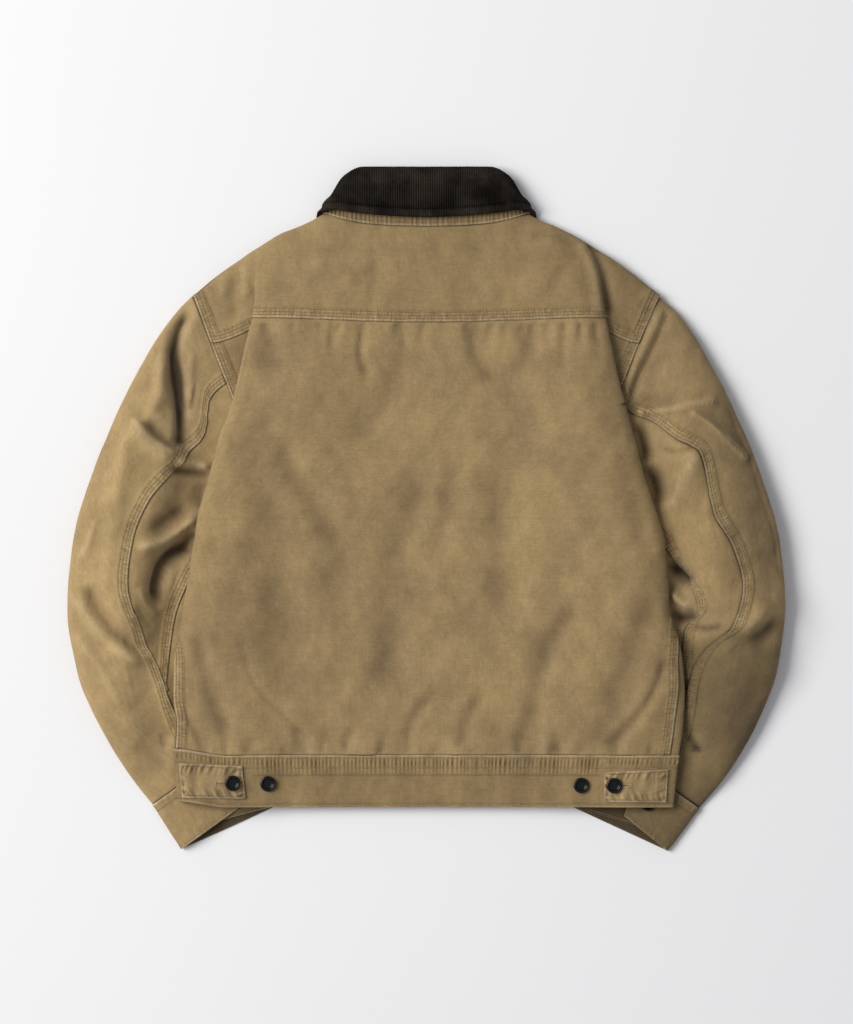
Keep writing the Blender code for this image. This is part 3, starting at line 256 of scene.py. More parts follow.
# The creases that show, in plan: the line that each follows, its half width, and how far it lifts the
# cloth, or sinks it where negative. A soft one is rounded, a sharp one is ridged, and an edge lifts the
# cloth on its left and sinks it on its right.
Crease = namedtuple("Crease", "line half_width height kind", defaults=["soft"])
CREASES = {
    "body": table(Crease, [
        (
            ((-164, 212), (-177, 159), (-185, 83), (-177, 7), (-164, -59), (-153, -146), (-144, -200)),
            26, -4.5,
        ),
        (((-164, 85), (-146, 41), (-124, 9), (-102, -29), (-91, -44)), 14.3, -3.8),
        (((2, 62), (-12, 8), (-28, -58), (-41, -112), (-39, -167), (-30, -210)), 19.5, -4.2),
        (((33, 69), (22, 9), (9, -57)), 13, -3),
        (((59, 177), (92, 133), (108, 101), (92, 62), (79, 8), (83, -68), (87, -134)), 19.5, -3.9),
        (((88, 216), (110, 172), (104, 140)), 13, -3.3),
        (((-14, 177), (-36, 134), (-63, 90), (-80, 63)), 15.6, -3),
        (((99, -271), (114, -225), (124, -179), (144, -131), (170, -102)), 13, -5.1),
        (((115, -251), (132, -196), (148, -153)), 12, 1.6),
        (((248, -90), (232, -133), (212, -188), (199, -232), (183, -270)), 16.9, -5),
        (((262, -159), (247, -197), (225, -228), (193, -260)), 6, -3.2),
        (((-250, -130), (-233, -198), (-213, -252)), 9.2, -4.1),
        (((-202, -142), (-189, -185), (-156, -223), (-125, -251)), 2.5, -1.5, "sharp"),
        (((-266, -213), (-249, -244), (-238, -269)), 4.5, -2.5),
        (((-160, 202), (-169, 172), (-153, 141)), 18.2, -3.8),
        (((-102, 209), (-104, 171)), 5, -2.5),
        (((-67, 209), (-72, 171), (-63, 143)), 5, -2.7),
        (((-28, 209), (-24, 171)), 5, -2.3),
        (((48, 208), (52, 173), (76, 132)), 8, -3.8),
        (((112, 208), (115, 164)), 9.2, -2.9),
        (((149, 208), (145, 149)), 6, -1.9),
        (((181, 209), (186, 174)), 5, -2),
        (((-127, -57), (-94, -90), (-78, -145)), 18.2, -2.8),
        (((25, -155), (58, -106), (113, -57)), 18.2, -2.8),
        (((158, 95), (174, 40), (169, -36)), 20.8, -2.8),
        (((220, 63), (229, -2), (242, -57)), 15.6, -2.8),
        (((-24, -265), (-15, -230), (9, -197)), 8, -3.1),
        (((-91, -266), (-80, -232)), 6, -2.5),
        (((36, -266), (43, -232), (63, -197)), 8, -2.9),
        (((-134, -266), (-144, -232)), 6, -2.3),
        (((-220, 142), (-223, 76), (-232, 11)), 14, 1.8),
        (((-197, 270), (-196, 227)), 5, 2.5),
        (((-208, 259), (-212, 229), (-208, 202)), 7, -3.7),
        (((-234, 253), (-223, 216)), 5, -1.4),
        (((193, 209), (190, 232), (186, 258), (179, 277), (169, 294)), 5, 3.4, "edge"),
        (((107, 294), (135, 299), (167, 288)), 7, -2.5),
        (((-124, 281), (-68, 287)), 7, -1.4),
        (((-171, 246), (-138, 238)), 6, -1.4),
        (((154, 277), (141, 251), (130, 228)), 9, -1.7),
        (((223, 221), (243, 239)), 3, 1.4, "sharp"),
    ]),
    "sleeve_left": table(Crease, [
        (
            ((-261, 221), (-271, 195), (-274, 168), (-270, 145), (-266, 123), (-263, 101), (-262, 75),
            (-267, 61)),
            8, -12,
        ),
        (((-262, 190), (-268, 159), (-266, 123), (-262, 85)), 16, -5),
        (((-284, 176), (-288, 150), (-290, 126), (-304, 100)), 7, 5),
        (((-312, 96), (-298, 78), (-283, 67), (-268, 58)), 8, -6.5, "edge"),
        (((-318, 99), (-300, 80), (-284, 68), (-271, 60)), 3.4, 5.5, "sharp"),
        (((-282, 101), (-299, 100), (-311, 95)), 4.5, 2.6, "sharp"),
        (((-255, 174), (-257, 131), (-258, 93), (-261, 72)), 4.5, 2.4),
        (((-250, 137), (-251, 122), (-254, 106)), 2.8, -1.8),
        (((-277, 49), (-258, 46), (-232, 41)), 5, 6, "edge"),
        (((-236, 36), (-240, 14), (-250, 0)), 12, -7),
        (((-298, -26), (-282, -11), (-257, 5)), 8, -7),
        (((-314, -40), (-296, -37), (-278, -27), (-262, -16), (-247, -7)), 5, 9, "sharp"),
        (((-247, -23), (-260, -38), (-275, -48), (-285, -61), (-291, -83), (-292, -106)), 8, -12),
        (((-277, -61), (-282, -87), (-289, -113)), 5, 3),
        (((-312, -83), (-305, -100), (-293, -116)), 3, 2.6, "sharp"),
        (((-315, -103), (-306, -118), (-297, -129)), 3.5, -1.6),
        (((-354, -8), (-364, -32), (-374, -54)), 4, 4, "sharp"),
        (
            ((-306, -162), (-332, -143), (-350, -124), (-362, -108), (-370, -94), (-376, -84)),
            7, 6, "edge",
        ),
        (((-322, 87), (-328, 44), (-335, 5)), 6, 1.8),
        (((-384, -133), (-362, -157), (-338, -197), (-330, -213)), 5, 2),
        (((-349, -222), (-314, -252), (-280, -282)), 6, -1.6),
        (((-292, -249), (-273, -243)), 2.5, -2.4, "sharp"),
        (((-289, -258), (-278, -250)), 3, -1.8),
        (((-243, 206), (-230, 173), (-222, 149)), 6, -1.8),
        (((-312, 100), (-330, 33), (-340, -55), (-322, -142)), 16, 5),
        (((-300, -142), (-290, -196), (-280, -240)), 16, 5),
    ]),
    "sleeve_right": table(Crease, [
        (((217, 120), (229, 152), (244, 184), (259, 217)), 3.4, 2.8, "edge"),
        (((239, 127), (247, 156), (263, 189), (273, 208)), 14, -3.4),
        (((228, 107), (259, 108), (287, 114), (316, 119)), 3.0, 4.2, "sharp"),
        (((228, 116), (258, 119), (280, 124)), 9, -4),
        (((285, 107), (305, 94), (326, 76), (352, 55)), 3.0, 5.0, "sharp"),
        (((302, 108), (326, 88), (351, 68)), 7, -1.8),
        (((224, 96), (232, 70), (238, 48)), 13, -9),
        (((236, 50), (244, 26), (250, 2)), 16, -10),
        (((296, 69), (289, 50), (281, 31), (275, 14), (263, -3)), 8, 5),
        (((254, 67), (274, 63), (291, 68)), 3, -2.6),
        (((250, -2), (257, -20), (265, -38)), 6, 2.4),
        (((303, 42), (296, 10), (288, -12)), 8, -2.4),
        (((262, -56), (276, -68), (290, -84)), 7, -12),
        (((263, -89), (276, -98), (292, -106)), 3.6, 9, "sharp"),
        (((262, -112), (280, -118), (297, -113)), 7, -10),
        (((283, -127), (303, -130), (322, -125)), 4, -4),
        (((341, -142), (356, -130), (368, -119), (381, -107)), 10, 8, "edge"),
        (((281, -242), (290, -254), (299, -266)), 5, -3.6),
        (((289, -257), (300, -264)), 3, -1.8),
        (((268, -159), (274, -208), (290, -252)), 8, -3.4),
        (((331, -12), (342, -56), (334, -99)), 9, -1.8),
        (((272, 98), (287, 33), (298, -44), (305, -98)), 20, 5),
        (((322, 142), (353, 65), (370, -22), (374, -98)), 24, -5),
        (((290, -153), (292, -207), (298, -262)), 17, 6),
        (((356, -160), (343, -212), (313, -285)), 26, -6),
    ]),
}


PER_SPAN = 14  # points that a smooth line has for each point that it is drawn through


def through(at, values):
    """A smooth function through values given at rising places, which never overshoots them."""
    at = np.asarray(at, float)
    values = np.asarray(values, float)
    step = np.diff(at)
    slope = np.diff(values) / step
    turns = slope[:-1] * slope[1:] <= 0
    total = np.where(turns, 1.0, slope[:-1] + slope[1:])
    inner = np.where(turns, 0.0, 2 * slope[:-1] * slope[1:] / total)
    tangent = np.concatenate([slope[:1], inner, slope[-1:]])

    def value(x):
        """The curve's value at x."""
        x = np.clip(x, at[0], at[-1])
        i = np.clip(np.searchsorted(at, x, side="right") - 1, 0, len(step) - 1)
        t = (x - at[i]) / step[i]
        start = (1 + 2 * t) * (1 - t) ** 2 * values[i] + t * (1 - t) ** 2 * step[i] * tangent[i]
        end = t * t * (3 - 2 * t) * values[i + 1] + t * t * (t - 1) * step[i] * tangent[i + 1]
        return start + end

    return value


def columns(rows):
    """Each column after a table's first, as a smooth function of the first."""
    names = rows[0]._fields
    first = [row[0] for row in rows]
    return {name: through(first, [row[i] for row in rows]) for i, name in enumerate(names) if i}


def ease(x):
    """0 up to x = 0, 1 from x = 1, and a smooth step between."""
    x = np.clip(x, 0.0, 1.0)
    return x * x * (3 - 2 * x)


def bell(x, centre, width):
    """1 at the centre, falling off smoothly on both sides."""
    return np.exp(-(((x - centre) / width) ** 2))


def unit(vector):
    """A vector's direction, with a length of 1."""
    return vector / np.linalg.norm(vector)


def line_through(points, per_span=PER_SPAN):
    """A dense smooth line through points; point i is at index i * per_span."""
    points = np.asarray(points, float)
    chord = np.maximum(np.linalg.norm(np.diff(points, axis=0), axis=1), 1e-6)
    at = np.concatenate([[0.0], np.cumsum(chord)])
    fine = np.concatenate(
        [np.linspace(a, b, per_span, endpoint=False) for a, b in zip(at[:-1], at[1:])] + [at[-1:]]
    )
    return np.stack([through(at, points[:, k])(fine) for k in range(points.shape[1])], axis=1)


def lengths(line):
    """Length along a line up to each of its points."""
    return np.concatenate([[0.0], np.cumsum(np.linalg.norm(np.diff(line, axis=0), axis=1))])


def sample(line, at):
    """The points of a line at the given lengths along it."""
    along = lengths(line)
    return np.stack([np.interp(at, along, line[:, k]) for k in range(line.shape[1])], axis=1)


SIDE_OF_BODY = {side: columns(rows) for side, rows in BODY.items()}
SLEEVE_AT = {side: columns(rows) | columns(FILL) for side, rows in SLEEVE.items()}
CENTRE_HEIGHT = columns(CENTRE)["height"]


# ---------------------------------------------------------------- sleeves


def sleeve_line(side, t):
    """The two ends of the sleeve's cross line at t, in plan, for the side given as if it were +X."""
    at = SLEEVE_AT[side]
    outer = np.array([at["outer_x"](t), at["outer_y"](t)])
    inner = np.array([at["inner_x"](t), at["inner_y"](t)])
    return outer, inner


def sleeve_top(side, t, x, y):
    """Height of the sleeve's upper cloth, before it rounds over at its two folds."""
    at = SLEEVE_AT[side]
    clear_of_body = np.abs(x) - SIDE_OF_BODY[side]["edge"](y)
    swell = ease((clear_of_body - SWELL_START) / SWELL_REACH)
    return at["pressed"](t) + (at["full"](t) - at["pressed"](t)) * swell


def sleeve_layer(side, t, q, upper):
    """Points of the sleeve's upper or lower cloth at distances q in from its outer fold."""
    outer, inner = sleeve_line(side, t)
    width = np.linalg.norm(inner - outer)
    along = (inner - outer) / width
    q = np.clip(q, 0.0, width)
    x = outer[0] + q * along[0]
    y = outer[1] + q * along[1]
    round_out = float(SLEEVE_AT[side]["round"](t))
    top = sleeve_top(side, t, x, y)
    near_out = np.clip((round_out - q) / round_out, 0, 1)
    near_in = np.clip((q - width + INNER_ROUND) / INNER_ROUND, 0, 1)
    spread = np.sqrt(np.clip(1 - near_out**2, 0, 1)) * np.sqrt(np.clip(1 - near_in**2, 0, 1))
    middle = REST + FOLD_HEIGHT_SHARE * (top - REST)
    z = middle + spread * ((top if upper else REST) - middle)
    return np.stack([x, y, z], axis=1)


FOLD_POINTS = 12  # of a sleeve's section at each fold
FLAT_POINTS = 60  # and between its folds


def sleeve_reach(side, t):
    """Width of the sleeve along its cross line at t."""
    outer, inner = sleeve_line(side, t)
    return float(np.linalg.norm(inner - outer))


DENSE = 401  # cross lines that a sleeve is searched by


def seam_across(side, seam, t_values):
    """Distance in from the outer fold at which a seam crosses each of the sleeve's cross lines."""
    run = line_through(seam, per_span=30)
    dense = np.linspace(0, 1, DENSE)
    ends = [sleeve_line(side, t) for t in dense]
    outer = np.array([e[0] for e in ends])
    across = np.array([e[1] for e in ends]) - outer
    t_found = []
    q_found = []
    for point in run:
        to_point = point - outer
        turn = across[:, 0] * to_point[:, 1] - across[:, 1] * to_point[:, 0]
        i = int(np.argmin(np.abs(turn) / np.linalg.norm(across, axis=1)))
        t_found.append(dense[i])
        q_found.append(np.dot(to_point[i], across[i]) / np.linalg.norm(across[i]))
    t_found = np.maximum.accumulate(np.array(t_found) + 1e-7 * np.arange(len(run)))
    return np.interp(t_values, t_found, q_found)


def sleeve_ring(side, t):
    """The sleeve's section at t from its hidden seam out, over the top, in and back: a dense line, the
    length along it of a given distance q on the upper side, and its lengths at the two folds."""
    width = sleeve_reach(side, t)
    round_out = float(SLEEVE_AT[side]["round"](t))
    turn = np.linspace(0, math.pi / 2, FOLD_POINTS)
    out = round_out * (1 - np.cos(turn))
    inside = width - INNER_ROUND + INNER_ROUND * np.sin(turn)
    flat = np.linspace(round_out, width - INNER_ROUND, FLAT_POINTS)[1:-1]
    across = np.concatenate([out, flat, inside])
    hidden = UNDER_SEAM_SHARE * width
    lower = sleeve_layer(side, t, across, upper=False)
    upper = sleeve_layer(side, t, across, upper=True)
    start = lower[across < hidden][::-1]
    end = lower[across > hidden][::-1]
    seam = sleeve_layer(side, t, np.array([hidden]), upper=False)
    line = np.concatenate([seam, start, upper[1:], end[1:], seam])
    along = lengths(line)
    fold = along[len(start)]
    upper_lengths = along[len(start) : len(start) + len(across)]

    def length_at(q):
        """Length along the section at distance q in from the outer fold."""
        return float(np.interp(q, across, upper_lengths))

    return line, length_at, fold, upper_lengths[-1]


def spread(marks, counts):
    """Lengths that pass through every mark, with the given number of steps between them."""
    steps = [np.linspace(a, b, n, endpoint=False) for a, b, n in zip(marks[:-1], marks[1:], counts)]
    return np.concatenate([*steps, marks[-1:]])


def armhole(side):
    """The armhole seam's points, in plan and height, from the shoulder to the underarm."""
    q = np.linspace(0, sleeve_reach(side, 0.0), 80)
    return sleeve_layer(side, 0.0, q, upper=True)


ARMHOLE = {side: armhole(side) for side in SIDES}


def armhole_at(side, y):
    """The armhole seam's distance from the middle of the body and its height, at y up the garment."""
    line = ARMHOLE[side]
    return [np.interp(-np.asarray(y, float), -line[:, 1], line[:, k]) for k in (0, 2)]


# ---------------------------------------------------------------- body


TO_EDGE = 6 * PER_SPAN  # the index at which a body section reaches the edge, its seventh point
END_DROP = -22.5  # how far the cloth of the topmost row slides down towards the armhole
EDGE_RISE = 4.5  # and how far it climbs again on the edge


def half_section(side, y):
    """The body's section at height y as a dense line from the middle of the back, over the edge and
    along the underside, and the length along it at the edge. Below the underarm it runs on to the
    middle of the front, and above it it ends at the armhole."""
    at = {name: float(value(y)) for name, value in SIDE_OF_BODY[side].items()}
    edge = at["edge"]
    under = at["under"]
    ridge = at["ridge"]
    middle = float(CENTRE_HEIGHT(y))
    turn = under + EDGE_SHARE * (ridge - under)
    points = [
        (0, middle),
        (0.30 * edge, middle + 0.02 * (ridge - middle)),
        (edge - SLOPE_FOOT, middle + 0.25 * (ridge - middle)),
        (edge - SLOPE_MIDDLE, middle + 0.72 * (ridge - middle)),
        (edge - RIDGE_INSET, ridge),
        (edge - 0.30 * RIDGE_INSET, turn + 0.72 * (ridge - turn)),
        (edge, turn),
        (edge - 4.5, under + 0.3),
    ]
    if y > UNDERARM:
        end_y = y + end_drop(y)
        outward, seam_z = (float(value) for value in armhole_at(side, end_y))
        nose = edge - at["tuck"]
        if outward < nose + 4:
            above = seam_z + CANVAS + 1.5
            points += [(max(outward + 8, 0.5 * (outward + edge)), under), (outward, above)]
        else:
            drop = min(3.4, under - seam_z)
            points += [
                (nose + 2, under),
                (nose, under - 0.5 * drop),
                (nose + 2, under - drop),
                (outward, seam_z + 1.2 * (1 - ease((y - 43) / 60))),
            ]
    else:
        inner = sleeve_inner_x(side, y)
        points += [
            (inner - 5, under - 0.2),
            (inner - 20, REST + 0.6 * (under - REST)),
            (inner - 36, REST + 0.15 * (under - REST)),
            (inner - 54, REST),
            (0, REST),
        ]
    line = line_through(points)
    return line, lengths(line)[TO_EDGE]


def slid(y):
    """How much of its slide towards the armhole a row has: none at 90 up, and all at the yoke seam."""
    return ease((y - 90) / 115)


def end_drop(y):
    """How much lower than the middle of its row the cloth reaches the armhole."""
    return END_DROP * slid(y)


def sleeve_inner_x(side, y):
    """Distance of the sleeve's inner fold from the middle of the body at height y."""
    rows = SLEEVE[side]
    fold = CUFF_END[side].inner
    heights = [-row.inner_y for row in rows] + [-fold[1]]
    return float(np.interp(-y, heights, [row.inner_x for row in rows] + [fold[0]]))


def back_height(x, y):
    """Height of the middle of the back's cloth over a point in plan."""
    side = "left" if x < 0 else "right"
    line, _ = half_section(side, y)
    top = line[:TO_EDGE]
    return float(np.interp(abs(x), top[:, 0], top[:, 1]))


def seam_drop(y, along, at_edge, end):
    """How far the cloth has slid down beyond the edge, where the yoke seam shows lower."""
    beyond = ease((along - at_edge) / (end - at_edge + 1))
    return EDGE_RISE * slid(y) * ease(along / at_edge) * (1 - beyond) + end_drop(y) * beyond


def side_gap(side, y):
    """Half the gap at the side seam, measured along a row, which the seam crosses at a slant."""
    if y > UNDERARM:
        return 0.6 * SEAM_GAP
    past = SIDE_OF_BODY[side]["past"]
    slant = float(past(y + 4) - past(y - 4)) / 8
    at_edge = bell(float(past(y)), 0, 14)
    at_underarm = bell(y, UNDERARM, 10)
    return (0.75 + 1.3 * at_edge + at_underarm) * SEAM_GAP * math.hypot(1.0, slant)


def seam_at(side, y, line, at_edge):
    """The length along the section at which the back ends."""
    if y > UNDERARM:
        return lengths(line)[-1]
    return at_edge + float(SIDE_OF_BODY[side]["past"](y))


HEM_CLIMB = 7.0  # how far the hem climbs at its left end
HEM_CLIMB_START = 215.0  # how far left of the middle it starts to climb
HEM_CLIMB_REACH = 60.0  # and over what distance it does, both along the hem and up the body


def hem_tilt(points):
    """The points, moved so that the hem climbs a little towards its left end."""
    low = ease((HEM_SEAM + HEM_CLIMB_REACH - points[..., 1]) / HEM_CLIMB_REACH)
    left = ease((-points[..., 0] - HEM_CLIMB_START) / HEM_CLIMB_REACH)
    points[..., 1] += HEM_CLIMB * left * low
    return points


# Shoulder line from the neck to the armhole, and the neck seam, for +X.
NECK_POINT = (112.0, 321.4)
SHOULDER = through(
    [112, 126, 144, 161, 176, 190, 204, 228, 253], [321.4, 313.8, 306, 298, 289, 280, 271, 254, 233]
)
BACK_NECK_ROWS = COLLAR[:6]
FRONT_NECK_ROWS = COLLAR[:4:-1]
NECK = through([row.neck_x for row in BACK_NECK_ROWS], [row.neck_y for row in BACK_NECK_ROWS])
FRONT_NECK = through(
    [row.neck_x for row in FRONT_NECK_ROWS], [row.neck_y for row in FRONT_NECK_ROWS]
)
SHOULDER_ROUND = 30.0  # how far down from the shoulder line the cloth starts to round over
SHOULDER_MIDDLE = 8.4  # height of the yoke's cloth on the shoulder fold
SHOULDER_END = 252.5  # x of the shoulder line's end at the armhole
YOKE_EDGE_TOP = 181.0  # x at which the body's edge fold reaches the shoulder line


def yoke_top(x):
    """Where the yoke ends: the neck seam, then the shoulder fold."""
    x = np.abs(x)
    return np.where(x < NECK_POINT[0], NECK(x), SHOULDER(x))


def shoulder_fall(x, y, top, start, reach):
    """0 on the flat, rising to 1 on the shoulder fold, where the cloth stands upright. The fold lies
    along the line called top, and begins over a stretch out from the neck."""
    left = np.clip((top(x) - y) / SHOULDER_ROUND, 0, 1)
    rounded = 1 - np.sqrt(1 - (1 - left) ** 2)
    return rounded * ease((np.abs(x) - start) / reach)


def front_lift(side, x, y):
    """How far the front stands off the surface: over the buttons, the overlap and the collar leaf."""
    inward = np.abs(x)
    near_middle = 1 - ease((inward - 15) / 34)
    above_hem = ease((y - HEM_SEAM) / 30)
    lift = BUTTON_LIFT * near_middle * above_hem
    if side == "right":
        lift = lift + (CANVAS + SEAM_GAP + 0.1) * near_middle
    over_leaf = ease((y - 148) / 24) * (1 - ease((inward - 128) / 24))
    return np.maximum(lift, COLLAR_LIFT * over_leaf)


ACROSS_FRONT = 40  # points of a front's row above the underarm


def front_row(side, y):
    """One row of a front, a dense line from its middle edge to its side or armhole seam."""
    if y <= UNDERARM:
        line, at_edge = half_section(side, y)
        along = lengths(line)
        clear_of_armhole = 4.0 * bell(y, UNDERARM, 6)
        start = seam_at(side, y, line, at_edge) + side_gap(side, y) + clear_of_armhole
        at = np.concatenate([[start], along[along > start + 0.4]])
        part = sample(line, at)[::-1]
        part = part[part[:, 0] > 0.5]
    else:
        at_underarm = bell(y, UNDERARM, 16)
        end = float(armhole_at(side, y)[0]) - (0.6 + 8 * at_underarm) * SEAM_GAP
        across = np.linspace(0.5, end, ACROSS_FRONT)
        climb = ease((across - end + 14) / 14) * (1 - ease((y - UNDERARM) / 22))
        part = np.stack([across, REST + 6.0 * climb], axis=1)
    flat = np.concatenate([[[-OVERLAP, REST]], part])
    return np.stack([flat[:, 0], np.full(len(flat), y), flat[:, 1]], axis=1)


def on_band(x, y, lift):
    """A point held off the hem band's outer face."""
    side = "left" if x < 0 else "right"
    edge = float(SIDE_OF_BODY[side]["edge"](y))
    x_flat = math.copysign(min(abs(x), edge - 9.0), x)
    height = max(back_height(x_flat - 4, y), back_height(x_flat + 4, y))
    return np.array([x, y, height + BAND_CLOTH / 2 + lift])


def seam_tip(side):
    """Where along the sleeve the elbow panel ends in a point."""
    tip = np.array(INNER_SEAM[side][-1])
    dense = np.linspace(0, 1, DENSE)
    off = []
    for t in dense:
        outer, inner = sleeve_line(side, t)
        along = unit(inner - outer)
        to_tip = tip - outer
        off.append(abs(along[0] * to_tip[1] - along[1] * to_tip[0]))
    return float(dense[int(np.argmin(off))])


# ---------------------------------------------------------------- the pieces as fine grids

# Distances in from a lapped edge at which a grid has lines, so that the stitch rows lie on some.
BAND = np.array([0, 0.9, 1.8, 2.7, 3.6, 4.5, 5.4, 6.3, 7.2, 8.1, 9.0, 9.9, 11.0, 12.5, 14.5])
TRIPLE = (2, 6, 10)  # the lines of a triple-stitched seam
DOUBLE = (2, 8)


def band_ends(total, count):
    """Lengths from 0 to total, closer at the end as BAND says."""
    scale = min(1.0, 0.5 * total / BAND[-1])
    return np.concatenate(
        [np.linspace(0, total - scale * BAND[-1], count, endpoint=False), total - scale * BAND[::-1]]
    )


BACK_COLUMNS = (64, 22, 16)  # lines from its middle to near the edge, over it, and to the end band
BACK_ROWS = (88, 74)  # lines below the underarm and above it
NEAR_EDGE = 45.0  # how far in from the edge the lines lie closer
PAST_EDGE = 6.0  # and how far past it


def back_row(side, y):
    """One side's points of the back or yoke at height y, from the middle out to its end seam."""
    line, at_edge = half_section(side, y)
    seam = seam_at(side, y, line, at_edge)
    end = seam - side_gap(side, y)
    band = min(1.0, 0.5 * (end - at_edge + NEAR_EDGE) / BAND[-1]) * BAND[::-1]
    flank = min(at_edge - NEAR_EDGE, end - band[0] - 2 * PAST_EDGE)
    over = min(at_edge + PAST_EDGE, end - band[0] - PAST_EDGE)
    inner = spread([0, flank, over, end - band[0]], BACK_COLUMNS)[:-1]
    at = np.concatenate([inner, end - band])
    flat = sample(line, at)
    drop = seam_drop(y, at, at_edge, max(seam, at_edge + 1))
    return np.stack([SIDES[side] * flat[:, 0], y + drop, flat[:, 1]], axis=1), at, at_edge


def body_row(y):
    """The whole row of the back at height y, from the left end seam to the right one."""
    return np.concatenate([back_row("left", y)[0][::-1], back_row("right", y)[0][1:]])


def back_grid():
    """The back from the hem seam up to the yoke seam."""
    low = HEM_SEAM + SEAM_GAP / 2
    top = YOKE_SEAM - SEAM_GAP / 2
    heights = np.concatenate(
        [
            low + np.array([0, 0.9, 1.9, 3.1, 4.6]),
            np.linspace(low + 6.5, UNDERARM, BACK_ROWS[0]),
            np.linspace(UNDERARM, top - 5, BACK_ROWS[1])[1:],
            top - np.array([3.2, 1.8, 0.8, 0]),
        ]
    )
    return hem_tilt(np.array([body_row(y) for y in heights]))


YOKE_ROWS = 38  # lines from the stitched band up to the top
YOKE_HEIGHT = through([0, 60, 112, 180, 253], [18.2, 17.6, 17.6, 18.5, 15.0])  # of its top, by x


def yoke_grid():
    """The yoke from its seam with the back up to the neck seam and the shoulder fold."""
    seam_row = body_row(YOKE_SEAM)
    half = len(seam_row) // 2
    from_middle = np.arange(half + 1)
    seam_row[:, 1] += SEAM_GAP
    top_row = np.zeros_like(seam_row)
    for side, sign in SIDES.items():
        column = half + sign * from_middle
        _, at, at_edge = back_row(side, YOKE_SEAM)
        edge = float(SIDE_OF_BODY[side]["edge"](YOKE_SEAM))
        nose = at_edge + float(SIDE_OF_BODY[side]["tuck"](YOKE_SEAM))
        seam_row[column, 1] += 8 * SEAM_GAP * bell(at, nose, 9)
        across = np.abs(seam_row[column, 0])
        last = np.flatnonzero((at <= at_edge) & (across <= edge))[-1]
        top = across * YOKE_EDGE_TOP / edge
        share = (at[last:] - at[last]) / (at[-1] - at[last])
        top[last:] = top[last] + (SHOULDER_END - top[last]) * share
        top_row[column, 0] = sign * top
    top_row[:, 1] = yoke_top(top_row[:, 0])
    top_row[:, 2] = YOKE_HEIGHT(np.abs(top_row[:, 0]))
    reach = np.linalg.norm(top_row - seam_row, axis=1)
    first = BAND[-1] / reach
    grid = []
    for distance in BAND[:-1]:
        grid.append(seam_row + (distance / reach)[:, None] * (top_row - seam_row))
    for share in np.sin(np.linspace(0, math.pi / 2, YOKE_ROWS)) ** 1.15:
        step = first + (1 - first) * share
        grid.append(seam_row + step[:, None] * (top_row - seam_row))
    for row in grid:
        fall = shoulder_fall(row[:, 0], row[:, 1], yoke_top, 88, 28)
        row[:, 2] += fall * (SHOULDER_MIDDLE - row[:, 2])
    return np.array(grid)


FRONT_ROWS = (64, 22, 30)  # lines below the underarm, up to the neck's foot, and up to the top
FRONT_COLUMNS = 70  # lines from the placket to the side
NECK_FOOT = 110.0  # height up the garment from which a front's lines bend to the neck
NECK_SHARE = 0.45  # of the width of a front's top that the neck takes
PLACKET = np.array([0.0, 4.0, 12.0, 25.0, 34.0, 43.0, 52.0, 62.0])  # lines in from the middle edge


def front_grid(side):
    """A front as a grid, laid out as if it were on the +X side."""
    low_rows = np.linspace(HEM_SEAM + SEAM_GAP / 2, UNDERARM, FRONT_ROWS[0])
    high_rows = np.linspace(UNDERARM + 14, NECK_FOOT, FRONT_ROWS[1])
    heights = np.concatenate([low_rows, high_rows])
    grid = []
    for y in heights:
        row = front_row(side, y)
        total = lengths(row)[-1]
        rest = 1 - (1 - np.linspace(0, 1, FRONT_COLUMNS)) ** 1.6
        at = np.concatenate([PLACKET[:-1], PLACKET[-1] + (total - PLACKET[-1]) * rest])
        grid.append(sample(row, at))
    low = grid[-1]
    share = lengths(low) / lengths(low)[-1]
    at_neck = share < NECK_SHARE
    top_x = np.interp(share, [0, NECK_SHARE, 1], [-OVERLAP, NECK_POINT[0], SHOULDER_END])
    top_y = np.where(at_neck, FRONT_NECK(top_x), SHOULDER(top_x)) - SEAM_GAP / 2
    top = np.stack([top_x, top_y, np.full(len(low), REST)], axis=1)
    start = low[-1]
    for step in np.linspace(0, 1, FRONT_ROWS[2])[1:]:
        eased = math.sin(step * math.pi / 2)
        row = low + eased * (top - low)
        # the end follows the armhole instead of the straight line
        end_y = start[1] + eased * (top[-1, 1] - start[1])
        shift = float(armhole_at(side, end_y)[0]) - SEAM_GAP / 2 - row[-1, 0]
        row[:, 0] += shift * share**6
        grid.append(row)
    grid = np.array(grid)
    fall = shoulder_fall(grid[..., 0], grid[..., 1], SHOULDER, 104, 12)
    grid[..., 2] += front_lift(side, grid[..., 0], grid[..., 1])
    grid[..., 2] += fall * (SHOULDER_MIDDLE - 1.2 - grid[..., 2])
    grid[..., 0] *= SIDES[side]
    return hem_tilt(grid)


# Distances down from the hem band's top edge at which its grid has lines.
BAND_DEPTHS = np.array(
    [0, 0.9, 1.8, 2.7, 4.2, 5.8, 7.4, 9, 10.6, 12.1, 13, 13.9, 15.3, 16.9, 18.5, 19.6, 20.7, 22.5]
    + [26, 30, 34, 38, 42, 46, 49.5, 51.4, 52.4, 53.4, 54.6, 55.5]
)
BAND_STITCHES = (2, 10, 26)  # the lines that its stitch rows lie on
BAND_COLUMNS = (230, 44, 46, 10)  # lines to near the edge, over it, under the body, and at its end
BAND_OVER = 12.0  # how far past the edge the band lies on the surface


